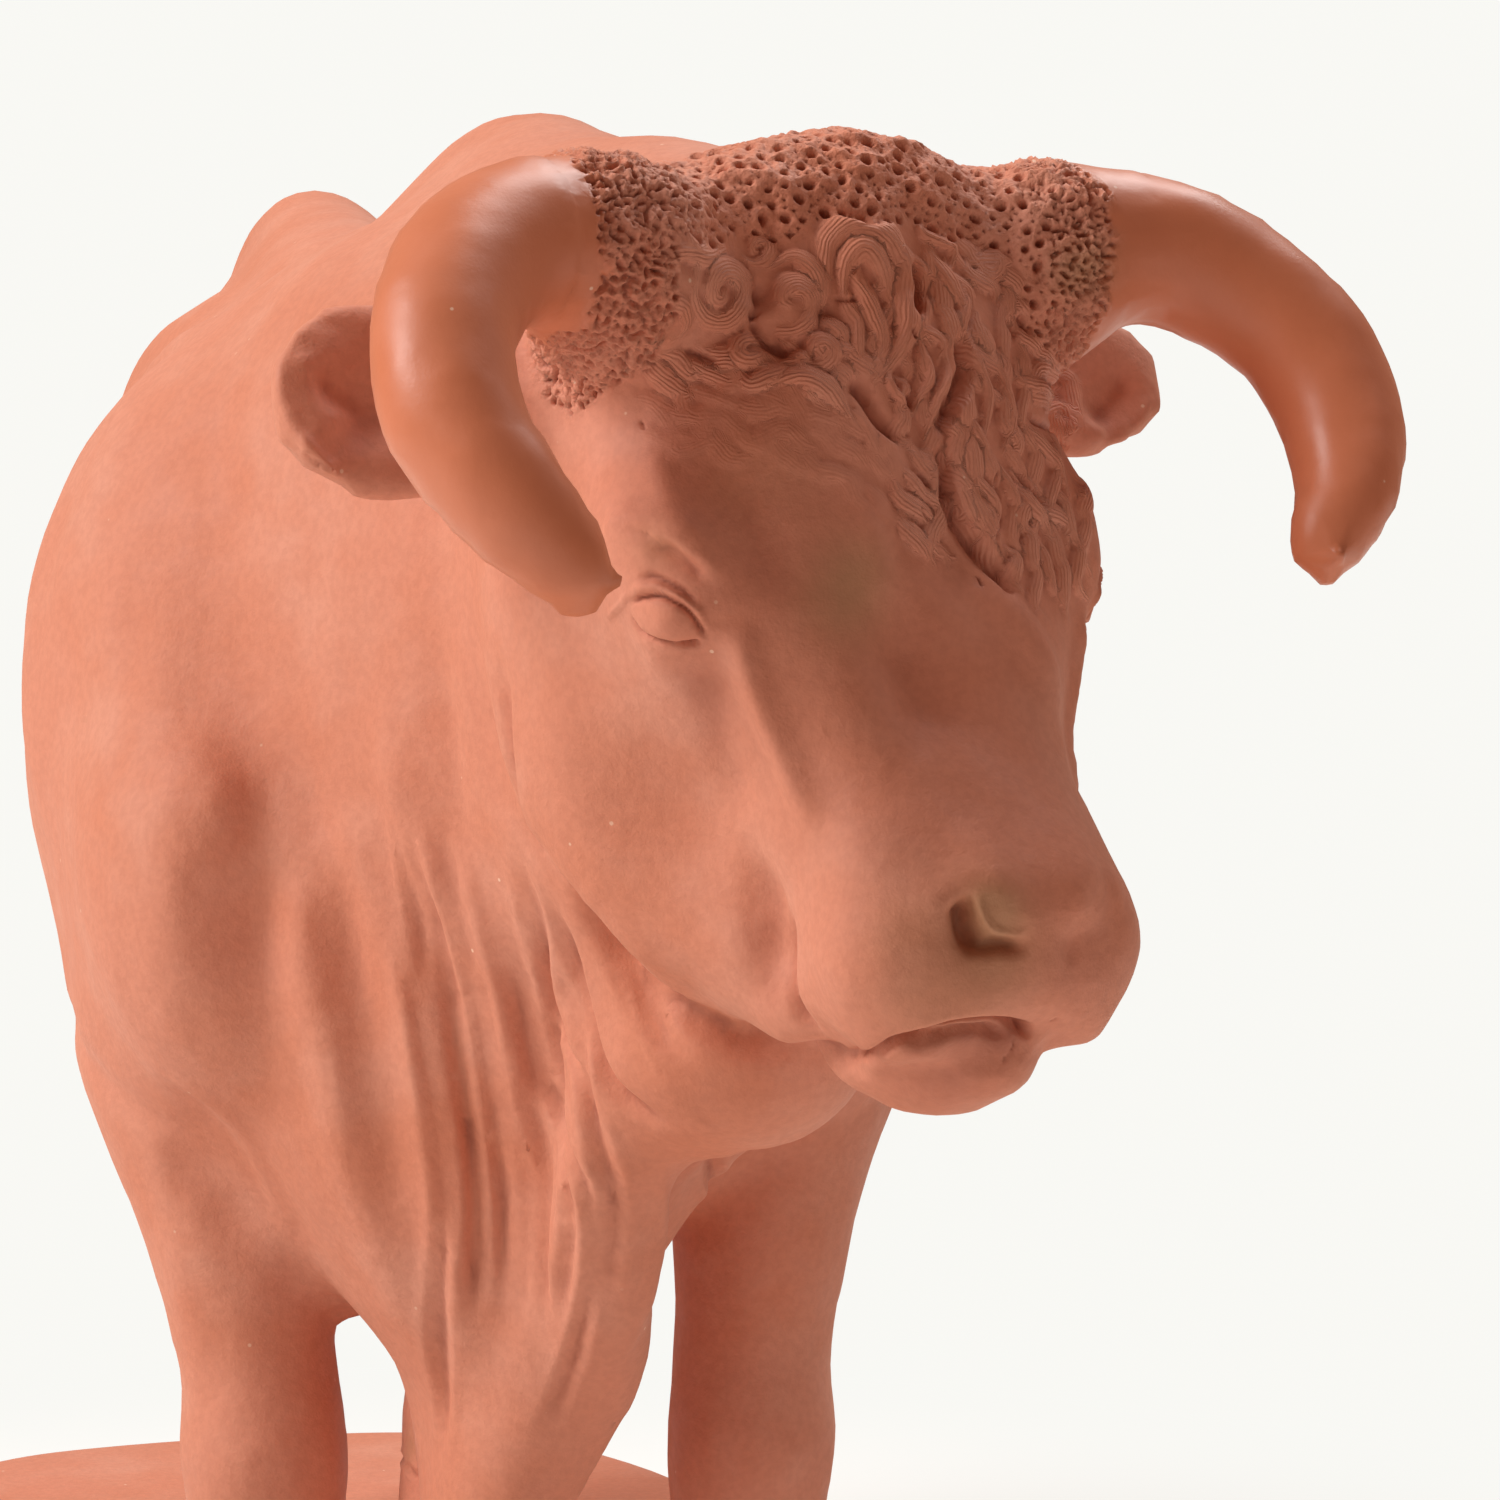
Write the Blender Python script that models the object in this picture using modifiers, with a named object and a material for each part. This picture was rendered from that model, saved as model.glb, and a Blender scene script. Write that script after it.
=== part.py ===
"""A standing bull on a low slab, modelled in clay and fired in one piece.

Metres, +Z up. The origin is the middle of the slab's flat underside, and the bull looks along -Y with
its head turned towards +X. The slab has its own sizes. The figure's pose and proportions are shares of
its height: its forms are given in units of a 150th of the height at the withers.
"""

import math
from dataclasses import dataclass, field

import bmesh
import bpy
import numpy as np

# Sizes of the figure and of the slab under it, in metres
WITHERS_HEIGHT = 0.240
SLAB_LENGTH = 0.346
SLAB_WIDTH = 0.168
SLAB_THICKNESS = 0.016
SLAB_EDGE_ROUNDING = 0.004
SLAB_CORNER_POWER = 3.2
STANCE_ASIDE = 0.007
STANCE_FORWARD = 0.008
HOOF_SINK = 0.004

# How finely the clay is worked, in metres, and how many triangles the finished figure keeps
WORKING_GRAIN = 0.0024
FIGURE_TRIANGLES = 8600
SLAB_SIDES = 96
SLAB_EDGE_STEPS = 3
SURFACE_STEPS = 5
RELAXING_STEPS = 2

# One unit of the figure, and the distances, in units, at which a form stops mattering
UNITS_AT_WITHERS = 150.0
UNIT = WITHERS_HEIGHT / UNITS_AT_WITHERS
REACH_MARGIN = 4.0
FAR = 1000.0

# Pose of the head, in units and degrees: the poll between the horns, the turn to the bull's left and
# the slope of the face below the level
POLL = np.array([15.9, -114.5, 140.3])
HEAD_TURN = 21.3
FACE_SLOPE = 66.8

# Where the legs stand, in units
FORE_STANCE = -62.0
HIND_STANCE = 62.0
FORE_SPREAD = 20.3
FORE_MIDDLE = -1.0
HIND_SPREAD = 11.0
HIND_MIDDLE = 3.0

# How the head is spared when the faces are thinned out: its part in the vertex group, and the weight of
# an edge's length against the error that its loss makes, in units
HEAD_SHARE = 0.9
HEAD_CARE = 0.5

# The folds of the neck, in units
NECK_FOLDS = 6
FOLD_DEPTH = 0.8
FOLD_WIDTH = 2.0

CLAY_COLOUR = (0.62, 0.27, 0.17, 1.0)
CLAY_ROUGHNESS = 0.72

SIDES = (-1.0, 1.0)


def head_axes():
    """The head's own axes as rows: to the bull's left, out from the face, and down the face."""
    turn = math.radians(HEAD_TURN)
    slope = math.radians(FACE_SLOPE)
    ahead = np.array([math.sin(turn), -math.cos(turn), 0.0])
    left = np.array([math.cos(turn), math.sin(turn), 0.0])
    up = np.array([0.0, 0.0, 1.0])
    out = math.sin(slope) * ahead + math.cos(slope) * up
    down = math.cos(slope) * ahead - math.sin(slope) * up
    return np.array([left, out, down])


@dataclass
class Place:
    """A frame that forms are given in: its origin and its three axes as rows."""

    origin: np.ndarray = field(default_factory=lambda: np.zeros(3))
    axes: np.ndarray = field(default_factory=lambda: np.eye(3))

    def inside(self, points):
        """Points of the figure, as seen in this frame."""
        return (points - self.origin) @ self.axes.T

    def outside(self, points):
        """Points of this frame, in the figure's own units."""
        return np.asarray(points, float) @ self.axes + self.origin


BODY = Place()
HEAD = Place(POLL, head_axes())


def smooth_least(first, second, blend):
    """The lesser of two distances, rounded over where they come within the blend of each other."""
    near = np.maximum(blend - np.abs(first - second), 0.0) / blend
    return np.minimum(first, second) - near * near * blend * 0.25


def eased(along, keys, values):
    """Values between the keys, on a curve without kinks."""
    keys = np.asarray(keys, float)
    values = np.asarray(values, float)
    slopes = np.gradient(values, keys)
    along = np.clip(along, keys[0], keys[-1])
    index = np.clip(np.searchsorted(keys, along, side="right") - 1, 0, len(keys) - 2)
    gap = keys[index + 1] - keys[index]
    t = (along - keys[index]) / gap
    start = (1 + 2 * t) * (1 - t) ** 2 * values[index] + t * (1 - t) ** 2 * gap * slopes[index]
    end = t * t * (3 - 2 * t) * values[index + 1] + t * t * (t - 1) * gap * slopes[index + 1]
    return start + end


def smooth_path(knots, steps=4):
    """Points on a curve through all the knots."""
    knots = np.asarray(knots, float)
    index = np.arange(len(knots))
    fine = np.linspace(0, len(knots) - 1, (len(knots) - 1) * steps + 1)
    return np.stack([eased(fine, index, knots[:, axis]) for axis in range(knots.shape[1])], axis=1)


def unit_ball():
    """Points spread evenly over a sphere of radius 1."""
    ball = bmesh.new()
    made = bmesh.ops.create_icosphere(ball, subdivisions=2, radius=1.0)["verts"]
    points = np.array([vert.co[:] for vert in made])
    ball.free()
    return points


UNIT_BALL = unit_ball()


@dataclass
class Ball:
    """A lump of clay, an ellipsoid on the axes of its frame."""

    centre: tuple
    radii: tuple
    blend: float = 6.0
    place: Place = field(default_factory=lambda: BODY)
    carve: bool = False

    def distance(self, points):
        offset = self.place.inside(points) - np.array(self.centre)
        radii = np.array(self.radii)
        near = np.linalg.norm(offset / radii, axis=1)
        far = np.linalg.norm(offset / radii**2, axis=1)
        return near * (near - 1.0) / np.maximum(far, 1e-6)

    def shells(self):
        return [self.place.outside(np.array(self.centre) + UNIT_BALL * np.array(self.radii))]


@dataclass
class Roll:
    """A roll of clay along a path: each knot is a point and the radius there."""

    knots: tuple
    blend: float = 5.0
    place: Place = field(default_factory=lambda: BODY)
    squash: tuple = (1.0, 1.0, 1.0)
    carve: bool = False

    def path(self):
        return smooth_path(self.knots)

    def distance(self, points):
        squash = np.array(self.squash)
        offset = self.place.inside(points) / squash
        path = self.path()
        ends = path[:, :3] / squash
        radii = path[:, 3]
        nearest = np.full(len(points), np.inf)
        for first, second, r_first, r_second in zip(ends, ends[1:], radii, radii[1:]):
            line = second - first
            t = np.clip((offset - first) @ line / max(line @ line, 1e-9), 0.0, 1.0)
            gap = np.linalg.norm(offset - first - t[:, None] * line, axis=1)
            nearest = np.minimum(nearest, gap - r_first - t * (r_second - r_first))
        return nearest * squash.min()

    def shells(self):
        lumps = [point[:3] + UNIT_BALL * point[3] * np.array(self.squash) for point in self.path()]
        return [self.place.outside(np.concatenate(pair)) for pair in zip(lumps, lumps[1:])]


@dataclass
class Loft:
    """Rounded sections along an axis of the frame: (along, middle aside, half width, low, high)."""

    axis: int
    aside: int
    rise: int
    sections: tuple
    power: float = 2.2
    blend: float = 8.0
    place: Place = field(default_factory=lambda: BODY)
    carve: bool = False

    def distance(self, points):
        offset = self.place.inside(points)
        rows = np.array(self.sections, float)
        along = offset[:, self.axis]
        middle, width, low, high = (eased(along, rows[:, 0], rows[:, n]) for n in (1, 2, 3, 4))
        half = (high - low) / 2
        aside = np.abs(offset[:, self.aside] - middle) / width
        rise = np.abs(offset[:, self.rise] - (high + low) / 2) / half
        round_about = (aside**self.power + rise**self.power) ** (1 / self.power)
        wall = (round_about - 1.0) * np.minimum(width, half)
        ends = np.maximum(rows[0, 0] - along, along - rows[-1, 0])
        return np.maximum(wall, ends)

    def shells(self):
        rings = [self.ring(row) for row in self.sections]
        return [self.place.outside(np.concatenate(pair)) for pair in zip(rings, rings[1:])]

    def ring(self, row, sides=24):
        along, middle, width, low, high = row
        angle = np.linspace(0, 2 * math.pi, sides, endpoint=False)
        points = np.zeros((sides, 3))
        points[:, self.axis] = along
        points[:, self.aside] = middle + width * np.cos(angle)
        points[:, self.rise] = (high + low) / 2 + (high - low) / 2 * np.sin(angle)
        return points


def wrap(mesh, points):
    """Adds the convex skin around some points to the block-out."""
    verts = [mesh.verts.new(point) for point in points]
    hull = bmesh.ops.convex_hull(mesh, input=verts)
    inner = [item for item in hull["geom_interior"] if isinstance(item, bmesh.types.BMVert)]
    bmesh.ops.delete(mesh, geom=inner, context="VERTS")


def trunk():
    """The barrel of the body and the neck, in sections from the throat to the rump."""
    sections = (
        (-110.0, 13.0, 14.5, 82.0, 132.0),
        (-98.0, 9.5, 19.0, 76.0, 138.5),
        (-84.0, 5.5, 24.5, 68.0, 142.0),
        (-68.0, 1.5, 30.0, 62.0, 143.0),
        (-50.0, 0.0, 33.5, 60.0, 142.0),
        (-28.0, 0.0, 32.5, 60.0, 138.5),
        (0.0, 0.0, 31.5, 60.0, 137.5),
        (30.0, 0.0, 29.5, 62.0, 137.0),
        (56.0, 0.5, 25.5, 70.0, 136.5),
        (76.0, 1.0, 21.0, 82.0, 135.5),
    )
    yield Loft(1, 0, 2, sections, power=2.25, blend=8.0)
    yield Ball((1.0, 73.0, 112.0), (20.0, 15.0, 23.0), blend=9.0)
    yield Ball((3.8, -51.0, 138.6), (7.6, 16.0, 10.4), blend=8.0)
    crest = ((3.0, -48.0, 139.0, 8.0), (5.0, -70.0, 137.0, 9.5), (8.5, -90.0, 135.5, 10.5), (12.5, -104.0, 130.0, 12.0))
    yield Roll(crest, blend=8.0)
    yield Roll(((0.0, 40.0, 135.0, 5.0), (0.0, 62.0, 138.6, 6.0), (0.0, 77.0, 141.6, 5.0), (0.0, 84.0, 136.0, 6.0)), blend=12.0)
    yield Roll(((0.0, 8.0, 66.0, 7.0), (0.0, 24.0, 63.0, 5.0), (0.0, 38.0, 65.0, 4.0)), blend=8.0)
    for side in SIDES:
        yield Ball((side * 13.0, 58.0, 126.5), (5.5, 10.0, 5.5), blend=8.0)


def brisket():
    """The deep chest between the forelegs and the dewlap that hangs from the throat."""
    chest = (
        (31.0, -5.4, 2.6, -80.0, -68.0),
        (38.0, -5.0, 4.6, -83.0, -62.0),
        (48.0, -3.6, 8.0, -86.0, -58.0),
        (56.0, -4.0, 13.0, -88.0, -54.0),
        (67.0, -3.5, 20.0, -90.0, -50.0),
        (76.0, -1.5, 27.0, -91.0, -46.0),
        (90.0, 0.0, 29.0, -88.0, -46.0),
    )
    yield Loft(2, 0, 1, chest, power=1.9, blend=6.0)
    yield Ball((-5.2, -75.0, 34.0), (3.8, 6.5, 5.0), blend=4.0)
    dewlap = (
        (8.0, -101.0, 81.0, 8.0),
        (2.2, -97.0, 70.0, 4.8),
        (1.6, -93.0, 62.0, 4.4),
        (1.6, -88.5, 54.0, 4.4),
        (0.4, -84.5, 48.0, 4.0),
        (-3.4, -80.5, 40.0, 3.7),
    )
    yield Roll(dewlap, blend=6.0)
    yield Ball((10.6, -103.0, 80.0), (9.4, 9.0, 9.0), blend=4.0)


def foreleg(side):
    """One foreleg from the shoulder blade to the hoof."""
    x = FORE_MIDDLE + side * FORE_SPREAD
    y = FORE_STANCE
    yield Ball((side * 25.5, -50.0, 99.0), (13.5, 21.0, 27.0), blend=10.0)
    yield Ball((side * 26.2, -70.0, 88.0), (9.3, 12.0, 15.0), blend=8.0)
    yield Ball((side * 24.3 - 0.4, -54.0, 76.5), (9.8, 16.0, 17.0), blend=7.0)
    arm = (
        (side * 24.6 - 1.3, y + 4.0, 74.0, 9.2),
        (side * 22.4 - 1.2, y + 1.0, 60.0, 8.0),
        (x + side * 0.6, y, 47.0, 6.5),
        (x + side * 0.3, y - 1.0, 39.5, 6.9),
        (x, y - 0.5, 32.0, 6.2),
        (x, y + 0.5, 21.0, 5.6),
        (x, y, 11.0, 6.9),
        (x, y - 2.5, 5.5, 6.2),
    )
    yield Roll(arm, blend=5.0, squash=(1.0, 1.12, 1.0))
    yield from hoof(x, y - 4.0)


def hind_leg(side):
    """One hind leg from the haunch to the hoof."""
    x = HIND_MIDDLE + side * HIND_SPREAD
    y = HIND_STANCE
    yield Ball((1.0 + side * 14.5, 62.0, 98.0), (12.5, 20.5, 28.0), blend=8.0)
    yield Ball((1.5 + side * 16.0, 50.0, 80.0), (9.5, 14.0, 15.0), blend=7.0)
    leg = (
        (2.0 + side * 15.5, y - 4.0, 78.0, 12.0),
        (x + side * 2.5, y + 5.0, 60.0, 8.8),
        (x, y + 11.0, 43.0, 6.6),
        (x, y + 8.0, 32.0, 5.4),
        (x, y + 5.0, 21.0, 5.2),
        (x, y + 2.0, 11.0, 6.6),
        (x, y - 1.0, 5.5, 6.0),
    )
    yield Roll(leg, blend=5.0, squash=(1.0, 1.15, 1.0))
    yield from hoof(x, y - 2.0)


def hoof(x, y):
    """A hoof that widens to the slab, and sinks a little into it so that the clay joins."""
    depth = HOOF_SINK / UNIT
    sections = ((-depth, x, 8.0, y - 10.0, y + 8.0), (3.0, x, 7.6, y - 9.0, y + 7.6), (8.0, x, 6.6, y - 5.5, y + 7.4))
    yield Loft(2, 0, 1, sections, power=2.4, blend=2.5)


def hindquarters():
    """The tail, hanging against the haunches, and the purse between them."""
    tail = (
        (0.0, 82.0, 141.0, 4.6),
        (0.5, 88.0, 134.0, 3.8),
        (1.0, 89.5, 115.0, 3.2),
        (1.5, 88.0, 92.0, 3.0),
        (3.0, 86.5, 70.0, 3.0),
        (5.0, 84.0, 55.0, 4.2),
        (5.5, 82.5, 42.0, 3.8),
        (5.0, 81.5, 33.0, 2.0),
    )
    yield Roll(tail, blend=2.5)
    yield Ball((0.0, 54.0, 66.0), (6.5, 7.0, 10.5), blend=4.0)


def skull():
    """The head's main mass: the forehead, the bridge of the nose, the cheeks and the lower jaw."""
    sections = (
        (-5.0, 0.0, 17.5, -26.0, -4.0),
        (2.0, 0.0, 19.6, -30.0, -0.6),
        (12.0, 0.0, 20.2, -33.0, -0.2),
        (22.0, 0.0, 19.6, -35.0, 0.0),
        (30.0, 0.0, 17.6, -34.5, 0.0),
        (38.0, 0.0, 13.1, -31.5, 0.0),
        (46.0, 0.0, 11.9, -26.0, 0.4),
        (53.0, 0.0, 10.0, -18.0, 0.8),
    )
    yield Loft(2, 0, 1, sections, power=3.0, blend=6.0, place=HEAD)
    for side in SIDES:
        yield Ball((side * 11.5, -27.0, 27.0), (6.0, 9.0, 15.0), blend=8.0, place=HEAD)
        jaw = ((side * 11.5, -29.0, 33.0, 5.5), (side * 8.5, -24.0, 44.0, 5.2), (side * 3.2, -15.0, 55.0, 5.2))
        yield Roll(jaw, blend=6.0, place=HEAD)
        yield Ball((side * 15.2, -8.2, 22.6), (3.8, 4.0, 5.2), blend=6.0, place=HEAD)
    yield Ball((1.0, -3.0, 9.0), (13.0, 4.0, 14.0), blend=4.0, place=HEAD)
    yield Ball((0.0, -7.0, -2.0), (17.0, 8.5, 4.6), blend=5.0, place=HEAD)
    yield Ball((3.0, -5.0, -3.2), (7.5, 5.5, 3.9), blend=4.0, place=HEAD)


def muzzle():
    """The broad muzzle, its two lobes over the mouth, the nostrils' wings and the chin."""
    yield Ball((0.0, -4.4, 51.2), (10.6, 6.4, 8.4), blend=4.5, place=HEAD)
    for side in SIDES:
        yield Ball((side * 6.0, -6.4, 54.6), (5.0, 6.0, 6.6), blend=4.0, place=HEAD)
        yield Ball((side * 3.4, 0.8, 51.4), (2.6, 2.2, 2.6), blend=3.0, place=HEAD)
    yield Ball((0.0, -3.0, 55.6), (5.0, 3.4, 3.0), blend=3.0, place=HEAD)
    yield Ball((-0.3, -11.6, 58.4), (6.2, 6.2, 5.2), blend=2.0, place=HEAD)
    yield Ball((-0.4, -7.6, 60.8), (4.4, 4.0, 2.8), blend=2.0, place=HEAD)


def eyes():
    """A ball for each eye under its brow, with the hollow before its inner corner."""
    for side in SIDES:
        yield Ball((side * 18.2, -4.6, 32.4), (2.4, 2.6, 3.0), blend=3.0, place=HEAD, carve=True)
        yield Ball((side * 16.4, -8.2, 27.3), (2.5, 3.2, 2.4), blend=1.4, place=HEAD)


def horns():
    """The horns, which grow out level, curve down beside the face and end in blunt tips."""
    for side in SIDES:
        knots = (
            (side * 14.0, -4.8, 1.0, 5.8),
            (side * 22.1, -2.0, 0.8, 5.8),
            (side * 30.2, -0.6, 2.7, 5.5),
            (side * 36.4, 1.6, 8.8, 5.0),
            (side * 38.1, 3.0, 16.2, 4.7),
            (side * 35.9, 4.3, 23.0, 3.9),
            (side * 32.2, 4.4, 28.0, 2.7),
        )
        yield Roll(knots, blend=2.2, place=HEAD)
        yield Ball((side * 18.8, -4.0, 2.2), (6.6, 7.4, 7.4), blend=3.0, place=HEAD)


def ears():
    """The ears, which stand out behind the horns like cupped leaves, hollow towards the front."""
    for side, middle, half_height in zip(SIDES, (6.6, 5.3), (7.8, 6.3)):
        yield Roll(((side * 15.0, -19.0, 7.0, 5.0), (side * 22.0, -18.5, 6.6, 4.2)), blend=3.0, place=HEAD)
        yield Ball((side * 29.8, -18.0, middle), (10.6, 3.1, half_height), blend=2.5, place=HEAD)
        hollow = (8.6, 3.8, half_height - 1.6)
        yield Ball((side * 30.0, -13.9, middle), hollow, blend=0.8, place=HEAD, carve=True)


def figure_forms():
    """Every form of the figure, in the order in which the clay is put on."""
    forms = list(trunk()) + list(brisket())
    for side in SIDES:
        forms += list(foreleg(side)) + list(hind_leg(side))
    forms += list(hindquarters()) + list(skull()) + list(muzzle()) + list(eyes())
    forms += list(ears()) + list(horns())
    for form in forms:
        around = np.concatenate(form.shells())
        margin = form.blend + REACH_MARGIN
        form.reach = (around.min(axis=0) - margin, around.max(axis=0) + margin)
    return forms


def clay(points, forms):
    """How far outside the clay the points are, less than nothing inside it."""
    depth = np.full(len(points), FAR)
    for form in forms:
        low, high = form.reach
        there = np.flatnonzero(((points > low) & (points < high)).all(axis=1))
        near = form.distance(points[there])
        if form.carve:
            depth[there] = -smooth_least(-depth[there], near, form.blend)
        else:
            depth[there] = smooth_least(depth[there], near, form.blend)
    return depth


def clay_slope(points, forms, reach=0.05):
    """The clay's depth at the points and the direction in which it grows."""
    here = clay(points, forms)
    slope = np.empty_like(points)
    for axis in range(3):
        step = np.zeros(3)
        step[axis] = reach
        slope[:, axis] = (clay(points + step, forms) - here) / reach
    return here, slope


def settle(points, forms, steps=SURFACE_STEPS, most=2.5):
    """Draws points onto the surface of the clay."""
    for _ in range(steps):
        here, slope = clay_slope(points, forms)
        length = np.maximum((slope * slope).sum(axis=1), 0.04)
        points = points - np.clip(here / length, -most, most)[:, None] * slope
    return points


@dataclass
class Stroke:
    """A groove or a ridge along a path over the surface; a depth under nothing cuts in."""

    knots: tuple
    width: float
    depth: float
    place: Place = field(default_factory=lambda: BODY)

    def press(self, points, normals, forms):
        """How far each point moves along its normal."""
        path = settle(self.place.outside(smooth_path(self.knots)), forms)
        low = path.min(axis=0) - 3 * self.width
        high = path.max(axis=0) + 3 * self.width
        near = np.flatnonzero(((points > low) & (points < high)).all(axis=1))
        moved = np.zeros(len(points))
        if not len(near):
            return moved
        best = np.full(len(near), np.inf)
        share = np.zeros(len(near))
        for index in range(len(path) - 1):
            line = path[index + 1] - path[index]
            offset = points[near] - path[index]
            t = np.clip(offset @ line / max(line @ line, 1e-9), 0.0, 1.0)
            gap = np.linalg.norm(offset - t[:, None] * line, axis=1)
            closer = gap < best
            best[closer] = gap[closer]
            share[closer] = (index + t[closer]) / (len(path) - 1)
        fade = np.sin(np.pi * np.clip(share, 0.04, 0.96)) ** 0.5
        moved[near] = self.depth * fade * np.exp(-((best / self.width) ** 2))
        return moved


def between(first, second, share):
    """A path that lies a share of the way from one path to another."""
    return tuple(tuple(np.add(a, share * np.subtract(b, a))) for a, b in zip(first, second))


def neck_folds():
    """Long folds of loose skin that fall from the throat and the neck's side to the brisket."""
    for side, lean in zip(SIDES, (0.0, 7.0)):
        outer = ((side * 22.0 + lean, -78.0, 100.0), (side * 17.0 + lean / 2, -82.0, 78.0), (side * 10.5, -82.0, 47.0))
        inner = ((side * 7.0 + lean, -92.0, 96.0), (side * 3.0 + lean / 2, -96.0, 78.0), (side * 0.5, -88.0, 50.0))
        for index in range(NECK_FOLDS):
            share = index / (NECK_FOLDS - 1)
            deep = -FOLD_DEPTH if index % 2 else FOLD_DEPTH * 0.8
            yield Stroke(between(outer, inner, share), FOLD_WIDTH, deep)
        hollow = ((side * 27.0, -78.0, 106.0), (side * 25.0, -82.0, 90.0), (side * 23.0, -82.0, 76.0))
        yield Stroke(hollow, 3.8, -1.6)


def face_strokes():
    """The lines of the face that show from a step away: mouth, nostrils, lids, brow and jaw."""
    for side in SIDES:
        nostril = ((side * 6.2, 1.0, 51.2), (side * 6.0, 1.4, 54.0), (side * 4.2, 1.8, 55.0), (side * 1.6, 2.0, 55.0))
        yield Stroke(nostril, 0.9, -1.8, HEAD)
        lips = ((0.0, -4.0, 59.0), (side * 3.6, -5.0, 59.2), (side * 6.6, -8.4, 59.6), (side * 9.6, -13.0, 58.4))
        yield Stroke(lips, 0.9, -1.3, HEAD)
        yield Stroke(((side * 20.4, -8.4, 25.8), (side * 18.6, -6.0, 25.6), (side * 15.6, -5.2, 28.2)), 0.7, 0.6, HEAD)
        yield Stroke(((side * 20.0, -9.6, 27.4), (side * 18.0, -8.6, 29.4), (side * 15.4, -6.6, 29.4)), 0.7, 0.5, HEAD)
        cheek_edge = ((side * 18.0, -31.0, 16.0), (side * 17.0, -34.0, 28.0), (side * 14.0, -31.0, 40.0), (side * 11.0, -25.0, 49.0))
        yield Stroke(cheek_edge, 2.2, -1.6, HEAD)
    parting = ((-0.5, 0.0, 8.0), (1.6, 0.0, 18.0), (2.0, 0.0, 26.0), (5.5, 0.0, 30.0))
    yield Stroke(parting, 1.8, -0.8, HEAD)


def figure_strokes():
    return list(neck_folds()) + list(face_strokes())


def as_array(mesh):
    points = np.empty(len(mesh.vertices) * 3)
    mesh.vertices.foreach_get("co", points)
    return points.reshape(-1, 3)


def vertex_normals(mesh):
    normals = np.empty(len(mesh.vertices) * 3)
    mesh.vertices.foreach_get("normal", normals)
    return normals.reshape(-1, 3)


def set_points(mesh, points):
    mesh.vertices.foreach_set("co", points.ravel())
    mesh.update()


def relaxed(mesh, points):
    """Each point moved halfway to the middle of its neighbours, which evens the mesh out."""
    edges = np.empty(len(mesh.edges) * 2, np.int32)
    mesh.edges.foreach_get("vertices", edges)
    edges = edges.reshape(-1, 2)
    total = np.zeros_like(points)
    count = np.zeros(len(points))
    for first, second in ((0, 1), (1, 0)):
        np.add.at(total, edges[:, first], points[edges[:, second]])
        np.add.at(count, edges[:, first], 1)
    return points + 0.5 * (total / np.maximum(count, 1)[:, None] - points)


def new_object(name, mesh, collection):
    made = bpy.data.objects.new(name, mesh)
    collection.objects.link(made)
    return made


def evaluated_mesh(source, name):
    bpy.context.view_layer.update()
    graph = bpy.context.evaluated_depsgraph_get()
    return bpy.data.meshes.new_from_object(source.evaluated_get(graph), depsgraph=graph)


def block_out(forms, collection):
    """Rough solids of all the forms, fused to one skin of even faces."""
    rough = bmesh.new()
    for form in forms:
        if not form.carve:
            for shell in form.shells():
                wrap(rough, shell)
    bmesh.ops.recalc_face_normals(rough, faces=rough.faces)
    mesh = bpy.data.meshes.new("rough_forms")
    rough.to_mesh(mesh)
    rough.free()
    guide = new_object("rough_forms", mesh, collection)
    fuse = guide.modifiers.new("fuse", "REMESH")
    fuse.mode = "VOXEL"
    fuse.voxel_size = WORKING_GRAIN / UNIT
    fused = evaluated_mesh(guide, "fused_forms")
    bpy.data.objects.remove(guide)
    return fused


def worked_clay(forms, strokes, collection):
    """The figure's full surface, in metres, standing where its hooves meet the slab."""
    mesh = block_out(forms, collection)
    points = settle(as_array(mesh), forms)
    for _ in range(RELAXING_STEPS):
        points = settle(relaxed(mesh, points), forms, steps=2)
    set_points(mesh, points)
    normals = vertex_normals(mesh)
    moved = np.zeros(len(points))
    for stroke in strokes:
        moved += stroke.press(points, normals, forms)
    points = points + moved[:, None] * normals
    stance = np.array([STANCE_ASIDE, -STANCE_FORWARD, SLAB_THICKNESS])
    set_points(mesh, points * UNIT + stance)
    return mesh


def weigh_head(figure):
    """A vertex group that keeps more triangles on the head than on the body and the legs."""
    mesh = figure.data
    stance = np.array([STANCE_ASIDE, -STANCE_FORWARD, SLAB_THICKNESS])
    local = HEAD.inside((as_array(mesh) - stance) / UNIT)
    ahead = np.clip((local[:, 1] + 34.0) / 10.0, 0.0, 1.0) * np.clip((68.0 - local[:, 2]) / 4.0, 0.0, 1.0)
    group = figure.vertex_groups.new(name="body")
    for index, share in enumerate(1.0 - HEAD_SHARE * ahead):
        group.add([index], float(share), "REPLACE")
    return group


def slab_outline():
    """Points of the slab's rounded outline, on a curve between an ellipse and a rectangle."""
    for index in range(SLAB_SIDES):
        angle = 2 * math.pi * index / SLAB_SIDES
        across, along = math.cos(angle), math.sin(angle)
        reach = (abs(across) ** SLAB_CORNER_POWER + abs(along) ** SLAB_CORNER_POWER) ** (-1 / SLAB_CORNER_POWER)
        yield reach * across * SLAB_WIDTH / 2, reach * along * SLAB_LENGTH / 2


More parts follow.
